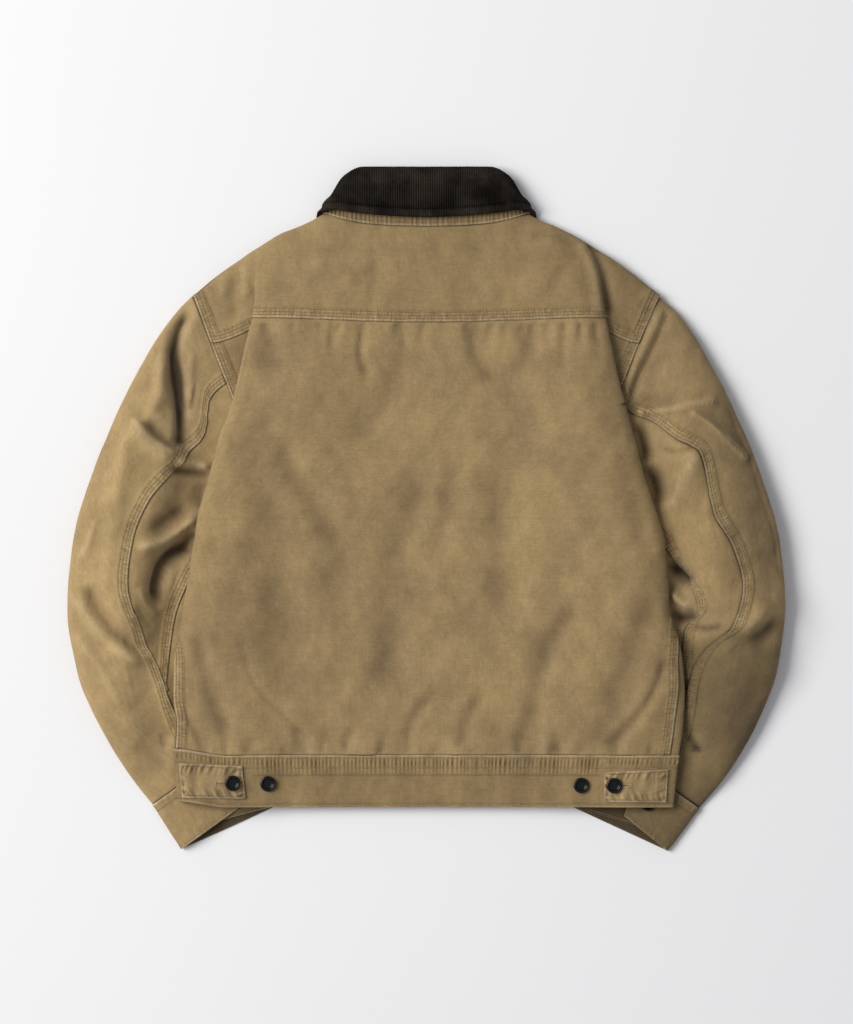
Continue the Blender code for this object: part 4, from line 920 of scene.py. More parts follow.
def band_row(y):
    """The band's ring at height y, from the left front's end, round both sides, to the right one's."""
    halves = []
    for side, sign in SIDES.items():
        line, at_edge = half_section(side, y)
        total = lengths(line)[-1]
        marks = [0, at_edge - 40, at_edge + BAND_OVER, total - 50, total - 14]
        at = spread(marks, BAND_COLUMNS)
        flat = sample(line, at)
        z = flat[:, 1].copy()
        on_floor = at > at_edge + BAND_OVER
        z[on_floor] = np.maximum(z[on_floor], BAND_CLOTH / 2)
        if side == "right":
            over_left = 1 - ease((flat[:, 0] - 16) / 30)
            z = np.where(on_floor, z + (BAND_CLOTH + SEAM_GAP) * over_left, z)
        half = np.stack([sign * flat[:, 0], np.full(len(flat), y), z], axis=1)
        ends = [[sign * x, y, half[-1, 2]] for x in (8.0, 2.0, -4.0, -OVERLAP)]
        halves.append(np.concatenate([half, ends]))
    return np.concatenate([halves[0][::-1], halves[1][1:]])


def band_grid():
    """The hem band from its top edge down."""
    return hem_tilt(np.array([band_row(HEM_SEAM - 1.5 * SEAM_GAP - d) for d in BAND_DEPTHS]))


def finer(grid, rows, cols):
    """A grid resampled to more rows and columns."""
    old_rows = np.linspace(0, 1, grid.shape[0])
    old_cols = np.linspace(0, 1, grid.shape[1])
    tall = np.apply_along_axis(lambda values: np.interp(rows, old_rows, values), 0, grid)
    return np.apply_along_axis(lambda values: np.interp(cols, old_cols, values), 1, tall)


TAB_EDGE = np.array([0, 0.014, 0.028, 0.042])  # lines near a tab's ends, as shares of its length
TAB_LINES = (24, 52)  # lines across and along the rest of it
TAB_MARKS = (5, 16)  # places across and along it at which its height is worked out


def tab_grid(side):
    """A tab's middle surface, between its four corners, on the hem band."""
    sign = SIDES[side]
    corners = [np.array([sign * abs(x), y], float) for x, y in TABS[side]]
    root_top, tip_top, tip_bottom, root_bottom = corners
    grid = []
    for v in np.linspace(0, 1, TAB_MARKS[0]):
        row = []
        for u in np.linspace(0, 1, TAB_MARKS[1]):
            top = root_top + u * (tip_top - root_top)
            bottom = root_bottom + u * (tip_bottom - root_bottom)
            x, y = bottom + v * (top - bottom)
            row.append(on_band(x, y, SEAM_GAP + TAB_CLOTH / 2))
        grid.append(row)
    grid = np.array(grid)
    middle_rows = np.linspace(0.11, 0.89, TAB_LINES[0])
    middle_cols = np.linspace(0.06, 0.94, TAB_LINES[1])
    rows = np.concatenate([2 * TAB_EDGE, middle_rows, 1 - 2 * TAB_EDGE[::-1]])
    cols = np.concatenate([TAB_EDGE, middle_cols, 1 - TAB_EDGE[::-1]])
    grid = finer(grid, rows, cols)
    return grid if sign < 0 else grid[:, ::-1]


WALE = 1.9  # from one wale of the corduroy to the next
BACK_SPANS = 4  # spans of the collar's table that lie round the back
# Lines across the collar for each span of its table, round the back and at the front
LEAF_STATIONS = (92, 16)
STAND_STATIONS = (28, 7)


def collar_stations(back, front):
    """Neck, roll and leaf points round the collar, from the front's left end to its right end."""
    last = len(COLLAR) - 1
    dense = np.concatenate(
        [
            np.linspace(0, BACK_SPANS, BACK_SPANS * back, endpoint=False),
            np.linspace(BACK_SPANS, last, (last - BACK_SPANS) * front + 1),
        ]
    )
    right = np.stack([through(range(len(COLLAR)), column)(dense) for column in zip(*COLLAR)], axis=1)
    left = right[::-1].copy()
    left[:, [0, 3, 6]] *= -1
    return np.concatenate([left[:-1], right])


LEAF_EDGE = np.array([0, 0.018, 0.13, 0.2])  # where its columns lie closer, as shares of its depth
LEAF_COLUMNS = (2, 4, 4, 12, 3, 2)


def collar_leaf_grid():
    """The corduroy leaf, from its edge up to the roll."""
    grid = []
    for station in collar_stations(*LEAF_STATIONS):
        neck, roll, leaf = station[:9].reshape(3, 3)
        under = station[9]
        over_stand = 0.5 * (roll + leaf) + [0, 0, 2.6]
        on_floor = np.array([*(0.7 * neck + 0.3 * leaf)[:2], leaf[2]])
        middle = over_stand + under * (on_floor - over_stand)
        back = unit(leaf - roll)
        near_roll = roll + back * (5 - 3 * under) + [0, 0, 1.8]
        near_roll[2] += under * (leaf[2] + 0.3 - near_roll[2])
        nose = roll + [0, 0, -1.4 * under]
        tip = roll + [0, 0, -2.6 + 3.4 * under] + back * 1.5 * under
        line = line_through([leaf, middle, near_roll, nose, tip])
        marks = lengths(line)[::PER_SPAN]
        at = spread([*(LEAF_EDGE * marks[2]), *marks[2:5]], LEAF_COLUMNS)
        grid.append(sample(line, at))
    return np.array(grid)


STAND_SHORT = 5.6  # how far short of the roll the stand ends, inside the leaf's turned end
STAND_COLUMNS = np.array([0, 0.02, 0.045, 0.09, 0.15, 0.22, 0.35, 0.6, 1])


def collar_stand_grid():
    """The canvas stand, from the neck seam up under the leaf to the roll."""
    grid = []
    for station in collar_stations(*STAND_STATIONS):
        neck, roll, _ = station[:9].reshape(3, 3)
        under = station[9]
        start = neck + unit(roll - neck) * SEAM_GAP * (3.2 + 2.2 * under)
        reach = np.linalg.norm(roll - neck)
        end = neck + min(0.82, 1 - STAND_SHORT * (2.9 - 1.9 * under) / reach) * (roll - neck)
        end[2] += -2.4 * (1 - under)
        line = line_through([start, 0.5 * (start + end), end])
        grid.append(sample(line, lengths(line)[-1] * STAND_COLUMNS))
    return np.array(grid)


# Lines across each panel of a sleeve between its marks, and along the sleeve
OUTER_COLUMNS = (24, 8, 8, 30)
UNDER_COLUMNS = (6, 22, 5, 5, 24)
ELBOW_COLUMNS = 22
SLEEVE_ROWS = 165


def sleeve_panels(side):
    """The three panels of a sleeve as grids, with rows along it from the armhole to the cuff."""
    tip = seam_tip(side)
    rows_above = round(SLEEVE_ROWS * tip)
    above = tip * np.linspace(0, 1, rows_above) ** 1.05
    times = np.concatenate([above, np.linspace(tip + 0.006, 1, SLEEVE_ROWS - rows_above)])
    outer = seam_across(side, OUTER_SEAM[side], times)
    inner = seam_across(side, INNER_SEAM[side], times)
    half = 0.6 * SEAM_GAP
    grids = {"outer": [], "elbow": [], "under": []}
    for i, t in enumerate(times):
        line, length_at, fold, inner_fold = sleeve_ring(side, min(max(t, 0.0012), 0.9985))
        total = lengths(line)[-1]
        first = length_at(outer[i])
        has_elbow = i < rows_above
        second = length_at(max(inner[i], outer[i] + 3.0)) if has_elbow else first
        turn = min(0.6 * length_at(20.0) - 0.6 * fold + 14, 0.4 * fold, 0.4 * (first - fold))
        end = first - half
        marks = [half, fold - turn, fold, fold + turn, end - BAND[-1]]
        at = np.concatenate([spread(marks, OUTER_COLUMNS)[:-1], end - BAND[::-1]])
        grids["outer"].append(sample(line, at))
        if has_elbow:
            at = first + half + band_ends(second - first - 2 * half, ELBOW_COLUMNS)
            grids["elbow"].append(sample(line, at))
        near_seam = second + half + min(18.0, 0.3 * (inner_fold - second))
        marks = [second + half, near_seam, inner_fold - 8, inner_fold, inner_fold + 8, total - half]
        grids["under"].append(sample(line, spread(marks, UNDER_COLUMNS)))
    turned = {name: np.array(grid) for name, grid in grids.items()}
    for grid in turned.values():
        grid[..., 0] *= SIDES[side]
    return turned


CUFF_DEPTH = 60.0
CUFF_ROWS = np.array([0, 0.9, 1.8, 3.0, 5.0, 7.0, 8.0, 9.0, 11.5, *range(15, 55, 4), 56, 57.2, 58.4])
CUFF_STITCHES = (6, 20)  # the lines that its stitch rows lie on
CUFF_COLUMNS = 141


def cuff_grid(side):
    """A cuff from its flap's end, out round its outer fold, under, and back up into the underlap."""
    outer, inner = sleeve_line(side, 1.0)
    width = np.linalg.norm(inner - outer)
    along = (inner - outer) / width
    down = np.array([along[1], -along[0]])
    down = down if down[1] < 0 else -down
    start = outer + down * 0.8 * SEAM_GAP
    seam_row = [
        (78, 7.0), (45, 7.0), (22, 8.3), (8, 8.0), (0, 4.6), (8, 1.3), (0.5 * width, 1.2),
        (width - 8, 1.2), (width, 2.6), (width - 8, 4.0), (52, 4.0),
    ]
    top = [np.array([*(start + q * along), z]) for q, z in seam_row]
    flap, fold, turn, lap = (np.array(point, float) for point in CUFF_END[side])
    to_flap, to_turn, to_lap = unit(flap - fold), unit(turn - fold), unit(lap - turn)
    reach = np.linalg.norm(flap - fold)
    edge_row = [
        (flap, 7.2), (fold + 0.6 * reach * to_flap, 8.8), (fold + 0.32 * reach * to_flap, 9.4),
        (fold + 8 * to_flap, 8.2), (fold, 4.6), (fold + 8 * to_turn, 1.3),
        (0.5 * (fold + turn), 1.2), (turn - 8 * to_turn, 1.2), (turn, 2.6),
        (turn + 8 * to_lap, 4.0), (lap, 4.1),
    ]
    bottom = [np.array([*point, z]) for point, z in edge_row]
    grid = []
    for v in np.append(CUFF_ROWS / CUFF_DEPTH, 1.0):
        line = line_through([a + v * (b - a) for a, b in zip(top, bottom)])
        marks = lengths(line)[::PER_SPAN]
        at = np.interp(np.linspace(0, 10, CUFF_COLUMNS), range(11), marks)
        grid.append(sample(line, at))
    grid = np.array(grid)
    grid[..., 0] *= SIDES[side]
    return grid


# ---------------------------------------------------------------- folds, puckers and seams


def fold_height(creases, x, y):
    """How far the creases lift or sink the cloth over points in plan."""
    total = np.zeros_like(x)
    for crease in creases:
        line = line_through(crease.line, per_span=7)
        reach = 3.2 * crease.half_width + 3
        low, high = line.min(axis=0) - reach, line.max(axis=0) + reach
        near = (x > low[0]) & (x < high[0]) & (y > low[1]) & (y < high[1])
        if not near.any():
            continue
        points = np.stack([x[near], y[near]], axis=1)
        start, way = line[:-1], np.diff(line, axis=0)
        size = np.linalg.norm(way, axis=1)
        to_point = points[:, None, :] - start[None]
        share = np.clip((to_point * way).sum(axis=2) / size**2, 0, 1)
        off = to_point - share[..., None] * way
        away = np.linalg.norm(off, axis=2)
        nearest = np.argmin(away, axis=1)
        pick = np.arange(len(points))
        away = away[pick, nearest]
        to_nearest = to_point[pick, nearest]
        turn = way[nearest, 0] * to_nearest[:, 1] - way[nearest, 1] * to_nearest[:, 0]
        run = np.concatenate([[0.0], np.cumsum(size)])
        along = run[nearest] + share[pick, nearest] * size[nearest]
        taper = min(2.5 * crease.half_width, 0.45 * run[-1])
        fade = ease(along / taper + 0.15) * ease((run[-1] - along) / taper + 0.15)
        d = away / crease.half_width
        if crease.kind == "soft":
            shape = bell(d, 0, 1)
        elif crease.kind == "sharp":
            shape = np.exp(-(np.sqrt(away**2 + 1) - 1) / crease.half_width)
        else:
            shape = np.sign(turn) * d * np.exp(0.5 - 0.5 * d * d)
        total[near] += crease.height * fade * shape
    return total


WAVES = 14  # sine waves in an irregular field


def waves(points, size, seed):
    """A smooth irregular field over points, from about -1 to 1, with features near the given size."""
    rng = np.random.default_rng(seed)
    total = np.zeros(points.shape[:-1])
    for _ in range(WAVES):
        way = rng.normal(size=points.shape[-1])
        way /= np.linalg.norm(way) * size * rng.uniform(0.8, 2.2)
        total += np.sin(2 * math.pi * (points @ way) + rng.uniform(0, 2 * math.pi))
    return total / 5.0


def wander(at, size, seed):
    """A smooth irregular line from about -1 to 1."""
    return waves(np.asarray(at, float)[..., None], size, seed)


Pucker = namedtuple("Pucker", "spacing width length height seed")
YOKE_PUCKERS = Pucker(13.0, 3.4, 17.0, 3.4, 3)
HEM_PUCKERS = Pucker(11.0, 3.2, 15.0, 3.0, 8)
PUCKERS_END = 290.0  # how far to each side the puckers run


def puckers(kind, x, away):
    """Short creases that run off from a gathered seam."""
    rng = np.random.default_rng(kind.seed)
    total = np.zeros_like(x)
    close = (away > -2) & (away < 4 * kind.length)
    xs, ds = x[close], away[close]
    place = -PUCKERS_END
    part = np.zeros_like(xs)
    while place < PUCKERS_END:
        length = kind.length * rng.uniform(0.5, 1.9)
        width = kind.width * rng.uniform(0.7, 1.5)
        height = kind.height * rng.uniform(-1.0, 0.45)
        slant = rng.uniform(-0.35, 0.35)
        off = (xs - place - slant * ds) / (width + 0.12 * ds)
        part += height * bell(off, 0, 1) * bell(ds, 0, length)
        place += kind.spacing * rng.uniform(0.6, 1.5)
    total[close] = part
    return total


def normals(grid, outward):
    """Unit normals of a grid, on the side that outward gives."""
    along = np.gradient(grid, axis=1)
    up = np.gradient(grid, axis=0)
    normal = np.cross(along, up) * outward
    size = np.linalg.norm(normal, axis=-1, keepdims=True)
    return normal / np.maximum(size, 1e-9)


def up_to_seam(folds, away):
    """Folds whose dips fade out under the edge that laps over them."""
    return np.where(folds < 0, folds * ease((away - 0.5) / 4.5), folds * ease((away + 2) / 3))


def body_folds(x, y):
    """The back's folds, with the puckers of its two gathered seams."""
    folds = fold_height(CREASES["body"], x, y) + puckers(HEM_PUCKERS, x, y - HEM_SEAM)
    folds = up_to_seam(folds, y - HEM_SEAM)
    return folds + up_to_seam(puckers(YOKE_PUCKERS, x, YOKE_SEAM - y), YOKE_SEAM - y)


def yoke_folds(x, y):
    """The yoke's folds: the back's puckers run on a little way into it."""
    edge = puckers(YOKE_PUCKERS, x, YOKE_SEAM - y + 2)
    faded = np.exp(-np.maximum(y - YOKE_SEAM, 0) / 6)
    return fold_height(CREASES["body"], x, y) + 0.3 * edge * faded


def sleeve_folds(side):
    """A function for one sleeve's folds, which fade out under the body and at the armhole."""

    def folds(x, y):
        """How far the folds lift the cloth over points in plan."""
        total = fold_height(CREASES[f"sleeve_{side}"], x, y)
        clear = np.abs(x) - SIDE_OF_BODY[side]["edge"](y)
        total = np.where(total > 0, total * ease((clear + 4) / 14), total)
        total = np.maximum(total, -4.5 - 10 * ease((clear - 1) / 16))  # clear of the layer beneath
        return up_to_seam(total, np.abs(x) - np.abs(armhole_at(side, y)[0]))

    return folds


SOFT_CELLS = 4  # over how many cells each way a grid's values are evened out


def softened(values):
    """A grid's values evened out both ways."""
    kernel = np.hanning(2 * SOFT_CELLS + 3)[1:-1]
    kernel /= kernel.sum()

    def even(line):
        """One line of the grid, evened out."""
        return np.convolve(np.pad(line, SOFT_CELLS, mode="edge"), kernel, "valid")

    for axis in (0, 1):
        values = np.apply_along_axis(even, axis, values)
    return values


def no_folds(x, y):
    """Plain cloth."""
    return np.zeros_like(x)


BROAD_WAVE = 46.0  # sizes of the ripples that all cloth has
FINE_WAVE = 17.0
FINE_SHARE = 0.4  # height of the fine ripples beside the broad ones
FACING_DOWN = 0.35  # and how much cloth that faces down ripples


def laid(grid, outward, folds, ripple, seed):
    """A grid with its folds laid in, its normals, and how far each point was lifted."""
    normal = normals(grid, outward)
    up = ease((normal[..., 2] - 0.05) / 0.5)
    lift = folds(grid[..., 0], grid[..., 1]) * up
    clear = ease((grid[..., 2] - 2.0) / 6)
    broad, fine = waves(grid, BROAD_WAVE, seed), waves(grid, FINE_WAVE, seed + 1)
    soft = ripple * broad + FINE_SHARE * ripple * fine
    lift = lift + soft * clear * (FACING_DOWN + (1 - FACING_DOWN) * up)
    moved = grid + normal * lift[..., None]
    moved[..., 2] = np.maximum(moved[..., 2], np.minimum(grid[..., 2], REST))
    return moved, normals(moved, outward), lift


EDGES = ("first_row", "last_row", "first_col", "last_col")


def from_edge(grid, edge):
    """A view of a grid that has the given edge as its first row."""
    if edge.startswith("last"):
        grid = grid[::-1] if edge == "last_row" else grid[:, ::-1]
    return grid.swapaxes(0, 1) if edge.endswith("col") else grid


def edge_away(grid, edge):
    """Each point's distance from one edge of its grid, and the length along that edge."""
    lines = from_edge(grid, edge)
    away, along = np.zeros((2, *grid.shape[:2]))
    from_edge(away, edge)[1:] = np.cumsum(np.linalg.norm(np.diff(lines, axis=0), axis=2), axis=0)
    from_edge(along, edge)[:] = lengths(lines[0])
    return away, along


STITCH_AT = (1.8, 5.4, 9.0)  # a triple-stitched seam's rows, in from its lapped edge
LAP_HEIGHT = 0.8  # how much the double ply of a lapped seam raises the cloth
LAP_RIDGE = 0.3  # and how much more it does along its fold
STITCH_DEPTH = 0.42  # how far a row of stitches draws it in
LAP_BUMPS = 0.16  # height of its bumps between the stitches
LAP_LIFT = 1.1  # how far a lapped edge is lifted over its neighbour
LAP_REACH = 1.3  # and how far it reaches past the seam
BUTT_DIP = 0.45  # how far the cloth dips where it runs in under a lapped edge


def lap_relief(away, along, rows=STITCH_AT, width=10.6):
    """A lapped seam's relief: two plies thick, rounded at the edge, drawn in along its stitches."""
    raised = LAP_HEIGHT * (1 - ease((away - width) / 1.6))
    ridge = LAP_RIDGE * bell(away, 0.9, 0.7)
    drawn = sum(STITCH_DEPTH * bell(away, row, 0.6) for row in rows)
    within = 1 - ease((away - width) / 2.5)
    bumps = LAP_BUMPS * wander(along, 4.2, seed=5) * within * ease(away / 2)
    return raised + ridge - drawn + bumps


# ---------------------------------------------------------------- making meshes


def set_attribute(mesh, name, values):
    """Gives each vertex three numbers that the material reads."""
    layer = mesh.attributes.new(name, "FLOAT_VECTOR", "POINT")
    layer.data.foreach_set("vector", np.ascontiguousarray(values, np.float32).ravel())


def new_object(name, vertices, faces, material):
    """A smooth object from vertices in millimetres and a list of faces, riding the root."""
    mesh = bpy.data.meshes.new(name)
    mesh.from_pydata((vertices * MM).tolist(), [], faces)
    mesh.shade_smooth()
    mesh.materials.append(material)
    obj = bpy.data.objects.new(name, mesh)
    bpy.context.scene.collection.objects.link(obj)
    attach(obj, "root")
    return obj


def border(index):
    """A grid's border, once round it."""
    return np.concatenate([index[0, :-1], index[:-1, -1], index[-1, :0:-1], index[:0:-1, 0]])


NO_LAP = 20.0  # distance from a lapped edge where there is none near
NO_BUTT = 6.0
CREST_HIGHLIGHT = 0.16  # how much painted highlight lightens a fold's crest, for each mm that it stands out
HOLLOW_SHADE = 0.2  # and how much painted shade darkens its hollow


class Cloth:
    """A cloth piece: a thin shell about a grid of points, with relief on its outer face. Each point also
    has its distance from a lapped edge and from one that runs in under a lap, the length along the
    lapped edge, how worn it is with painted highlight on its folds' crests, and how dark it is, mostly
    as painted shade."""

    def __init__(self, name, grid, outward, wall, folds=no_folds, ripple=0.45, seed=1):
        self.name = name
        self.wall = wall
        self.outward = outward
        self.flat = grid
        self.middle, self.normal, self.lift = laid(grid, outward, folds, ripple, seed)
        shape = grid.shape[:2]
        self.relief = np.zeros(shape)
        self.lap = np.full(shape, NO_LAP)
        self.butt = np.full(shape, NO_BUTT)
        self.along = np.zeros(shape)
        # painted highlight on the folds' crests, and painted shade in their hollows
        crest = self.lift - softened(self.lift)
        self.wear_and_highlight = np.clip(CREST_HIGHLIGHT * crest, 0, 0.5)
        self.dark = np.clip(-HOLLOW_SHADE * crest, 0, 0.7)

    def lapped(self, edge, where=None, **shape):
        """Lays the edge's double ply and stitch lines over its neighbour."""
        away, along = edge_away(self.flat, edge)
        share = 1.0 if where is None else where
        self.lap_over(edge, away, share, LAP_LIFT)
        self.relief += share * lap_relief(away, along, **shape)
        nearer = (away < self.lap) & (np.asarray(share) > 0.5)
        self.lap = np.where(nearer, away, self.lap)
        self.along = np.where(nearer & (away < 16), along, self.along)

    def lap_over(self, edge, away, share, height):
        """Lifts an edge and moves its last line on past the seam, over the neighbour."""
        lift = share * height * (1 - ease((away - 0.8) / 2.6))
        self.middle = self.middle + self.normal * lift[..., None]
        self.relief -= 0.75 * lift
        lines = from_edge(self.middle, edge)
        way = lines[0] - lines[1]
        way = way / np.maximum(np.linalg.norm(way, axis=1, keepdims=True), 1e-6)
        some = from_edge(np.broadcast_to(share, away.shape), edge)[0]
        lines[0] += LAP_REACH * way * some[:, None]

    def butted(self, edge):
        """Runs an edge in under its neighbour's lap."""
        away, _ = edge_away(self.flat, edge)
        self.relief -= BUTT_DIP * bell(away, 0, 1.4)
        self.butt = np.minimum(self.butt, away)

    def outer(self):
        """The points of the outer face."""
        return self.middle + self.normal * (self.wall / 2 + self.relief)[..., None]

    def make(self, material, slot):
        """Builds the shell: its two faces, and a rounded rim between them."""
        count = self.lift.size
        index = np.arange(count).reshape(self.lift.shape)
        rim = border(index)
        outer = self.outer().reshape(-1, 3)
        inner = (self.middle - self.normal * self.wall / 2).reshape(-1, 3)
        nose = 0.5 * (outer[rim] + inner[rim])
        inset = self.inset(rim)
        outer[rim] += inset
        inner[rim] += inset
        face = [index[:-1, :-1], index[:-1, 1:], index[1:, 1:], index[1:, :-1]]
        face = np.stack(face, axis=-1).reshape(-1, 4)
        noses = 2 * count + np.arange(len(rim))
        rim_next, noses_next = np.roll(rim, -1), np.roll(noses, -1)
        upper = np.stack([rim_next, rim, noses, noses_next], axis=-1)
        lower = np.stack([noses_next, noses, rim + count, rim_next + count], axis=-1)
        if self.outward < 0:
            face, upper, lower = face[:, ::-1], upper[:, ::-1], lower[:, ::-1]
        faces = np.concatenate([face, face[:, ::-1] + count, upper, lower])
        vertices = np.concatenate([outer, inner, nose])
        vertices[:, 2] = np.maximum(vertices[:, 2], 0.0)
        self.obj = new_object(self.name, vertices, faces.tolist(), material)

        def everywhere(*fields):
            """Three fields of the grid, for each vertex of the shell."""
            flat = [np.broadcast_to(field, self.lift.shape).reshape(-1) for field in fields]
            flat = np.stack(flat, axis=1)
            return np.concatenate([flat, flat, flat[rim]])

        across, _ = edge_away(self.flat, "first_col")
        up, _ = edge_away(self.flat, "first_row")
        mesh = self.obj.data
        set_attribute(mesh, "weave", everywhere(across, up, self.wall))
        set_attribute(mesh, "seam", everywhere(self.lap, self.butt, self.along))
        set_attribute(mesh, "tone", everywhere(self.lift, self.wear_and_highlight, self.dark))

    def inset(self, rim):
        """How far the faces draw in from the rim, so that it is rounded."""
        inward = np.zeros_like(self.middle)
        for edge in EDGES:
            lines = from_edge(self.middle, edge)
            from_edge(inward, edge)[0] += lines[1] - lines[0]
        way = inward.reshape(-1, 3)[rim]
        size = np.linalg.norm(way, axis=1, keepdims=True)
        return way / np.maximum(size, 1e-6) * np.minimum(0.3 * self.wall, 0.6 * size)

    def size(self):
        """The piece's flat width, length and area in metres."""
        across = np.linalg.norm(np.diff(self.flat, axis=1), axis=2).sum(axis=1).max()
        up = np.linalg.norm(np.diff(self.flat, axis=0), axis=2).sum(axis=0).max()
        a = self.flat[1:, 1:] - self.flat[:-1, :-1]
        b = self.flat[1:, :-1] - self.flat[:-1, 1:]
        area = 0.5 * np.linalg.norm(np.cross(a, b), axis=2).sum()
        return across * MM, up * MM, area * MM * MM


# ---------------------------------------------------------------- stitches

STITCH_LENGTH = 3.1
STITCH_WIDTH = 0.85
# A stitch as a grain of unit size: its corners, and its faces, where a repeated corner makes a triangle.
GRAIN = np.array(
    [[-0.5, 0, -0.1], [-0.28, 0.5, 0], [-0.28, 0, 0.55], [-0.28, -0.5, 0]]
    + [[0.28, 0.5, 0], [0.28, 0, 0.55], [0.28, -0.5, 0], [0.5, 0, -0.1]]
)
GRAIN_FACES = np.array(
    [[0, 2, 1, 1], [0, 3, 2, 2], [7, 4, 5, 5], [7, 5, 6, 6], [1, 2, 5, 4], [2, 3, 6, 5], [0, 1, 3, 3]]
    + [[7, 6, 4, 4], [1, 4, 6, 3]]
)


class Thread:
    """Stitches gathered into one mesh."""

    def __init__(self):
        self.vertices = []
        self.faces = []
        self.count = 0

    def stitch(self, place, way, normal, length, width=STITCH_WIDTH, height=0.5):
        """One stitch at each place, lying along its way and standing up along its normal."""
        side = np.cross(normal, way)
        axes = np.stack([way * length, side * width, normal * height], axis=1)
        points = place[:, None, :] + np.einsum("vk,nkj->nvj", GRAIN, axes)
        base = self.count + len(GRAIN) * np.arange(len(place))
        self.faces.append((GRAIN_FACES[None] + base[:, None, None]).reshape(-1, 4))
        self.vertices.append(points.reshape(-1, 3))
        self.count += len(GRAIN) * len(place)

    def row(self, line, normal):
        """A row of stitches along a line on the cloth."""
        total = lengths(line)[-1]
        if total < 2 * STITCH_LENGTH:
            return
        at = np.arange(STITCH_LENGTH / 2, total - STITCH_LENGTH / 2, STITCH_LENGTH)
        place = sample(line, at)
        ahead = sample(line, at + 0.4) - sample(line, at - 0.4)
        up = np.stack([np.interp(at, lengths(line), normal[:, k]) for k in range(3)], axis=1)
        up /= np.linalg.norm(up, axis=1, keepdims=True)
        way = ahead - (ahead * up).sum(axis=1, keepdims=True) * up
        way /= np.maximum(np.linalg.norm(way, axis=1, keepdims=True), 1e-9)
        self.stitch(place, way, up, 0.84 * STITCH_LENGTH)

    def make(self, name, material):
        """Makes the one mesh."""
        faces = np.concatenate(self.faces)
        polygons = [f[:3] if f[2] == f[3] else f for f in faces.tolist()]
        new_object(name, np.concatenate(self.vertices), polygons, material)


def stitch_edge(thread, cloth, edge, lines, first=0, last=None):
    """Rows of stitches along an edge of a cloth piece, on the grid lines counted from that edge."""
    surface = from_edge(cloth.outer() + 0.12 * cloth.normal, edge)
    normal = from_edge(cloth.normal, edge)
    for line in lines:
        thread.row(surface[line, first:last], normal[line, first:last])


def on_surface(surface, x, y):
    """The point of a fine grid nearest a place in plan, moved to that place."""
    points = surface.reshape(-1, 3)
    nearest = points[np.argmin((points[:, 0] - x) ** 2 + (points[:, 1] - y) ** 2)]
    return np.array([x, y, nearest[2]])


# ---------------------------------------------------------------- materials


class Shader:
    """Short calls for a material's nodes. Each takes sockets or numbers and gives a socket."""

    def __init__(self, name):
        self.material = bpy.data.materials.new(name)
        self.material.use_nodes = True
        self.tree = self.material.node_tree
        self.main = self.tree.nodes["Principled BSDF"]

    def put(self, socket, value):
        """Links a socket to another, or sets its number or colour."""
        if isinstance(value, bpy.types.NodeSocket):
            self.tree.links.new(value, socket)
        else:
            socket.default_value = value

    def node(self, kind, inputs=None, **settings):
        """A node with its settings and inputs."""
        node = self.tree.nodes.new(f"ShaderNode{kind}")
        for name, value in settings.items():
            setattr(node, name, value)
        for name, value in (inputs or {}).items():
            self.put(node.inputs[name], value)
        return node

    def math(self, operation, a, b=0.0, c=0.0):
        """A sum on two or three values."""
        return self.node("Math", {0: a, 1: b, 2: c}, operation=operation).outputs[0]

    def times(self, *factors):
        """The product of the factors, from the first on."""
        product = factors[0]
        for factor in factors[1:]:
            product = self.math("MULTIPLY", product, factor)
        return product

    def plus(self, a, factor, b):
        """The factor times a, plus b."""
        return self.math("MULTIPLY_ADD", a, factor, b)

    def larger(self, first, *others):
        """The largest of the values."""
        for other in others:
            first = self.math("MAXIMUM", first, other)
        return first

    def attribute(self, name):
        """A mesh attribute, as a vector and as its three numbers."""
        found = self.node("Attribute", attribute_name=name).outputs["Vector"]
        return found, *self.node("SeparateXYZ", {0: found}).outputs[:3]

    def place(self):
        """The point's place in millimetres."""
        return self.stretched(self.node("TexCoord").outputs["Object"], (1 / MM, 1 / MM, 1 / MM))

    def stretched(self, vector, scale):
        """A vector multiplied by another."""
        return self.node("VectorMath", {0: vector, 1: scale}, operation="MULTIPLY").outputs[0]

    def noise(self, vector, scale, detail=2.0, roughness=0.5):
        """A noise from about 0 to 1."""
        inputs = {"Vector": vector, "Scale": scale, "Detail": detail, "Roughness": roughness}
        return self.node("TexNoise", inputs).outputs["Fac"]

    def varied(self, noise, amount):
        """1 plus or minus the amount, by a noise about a half."""
        return self.plus(noise, 2 * amount, 1 - amount)

    def hill(self, x, centre, width):
        """1 at the centre, falling to 0 over the width on each side."""
        off = self.math("ABSOLUTE", self.math("SUBTRACT", x, centre))
        return self.math("SMOOTH_MAX", self.plus(off, -1 / width, 1.0), 0.0, 0.2)

    def ramp(self, x, low, high, out_low=0.0, out_high=1.0):
        """A smooth step from one value to another, as x goes from low to high."""
        inputs = {"Value": x, 1: low, 2: high, 3: out_low, 4: out_high}
        return self.node("MapRange", inputs, interpolation_type="SMOOTHSTEP").outputs[0]

    def mix(self, share, a, b):
        """Colour a, with a share of colour b."""
        return self.node("Mix", {0: share, 6: a, 7: b}, data_type="RGBA").outputs[2]

    def scaled(self, colour, factor):
        """A colour made lighter or darker."""
        return self.node("VectorMath", {0: colour, "Scale": factor}, operation="SCALE").outputs[0]

    def bump(self, height, strength, distance, **normal):
        """A normal tilted by a height, over another normal if one is given."""
        inputs = {"Height": height, "Strength": strength, "Distance": distance, **normal}
        return self.node("Bump", inputs).outputs[0]

    def finish(self, **inputs):
        """The material, with the inputs of its main shader."""
        for name, value in inputs.items():
            self.put(self.main.inputs[name.replace("_", " ")], value)
        return self.material


KHAKI = (0.335, 0.231, 0.104, 1)
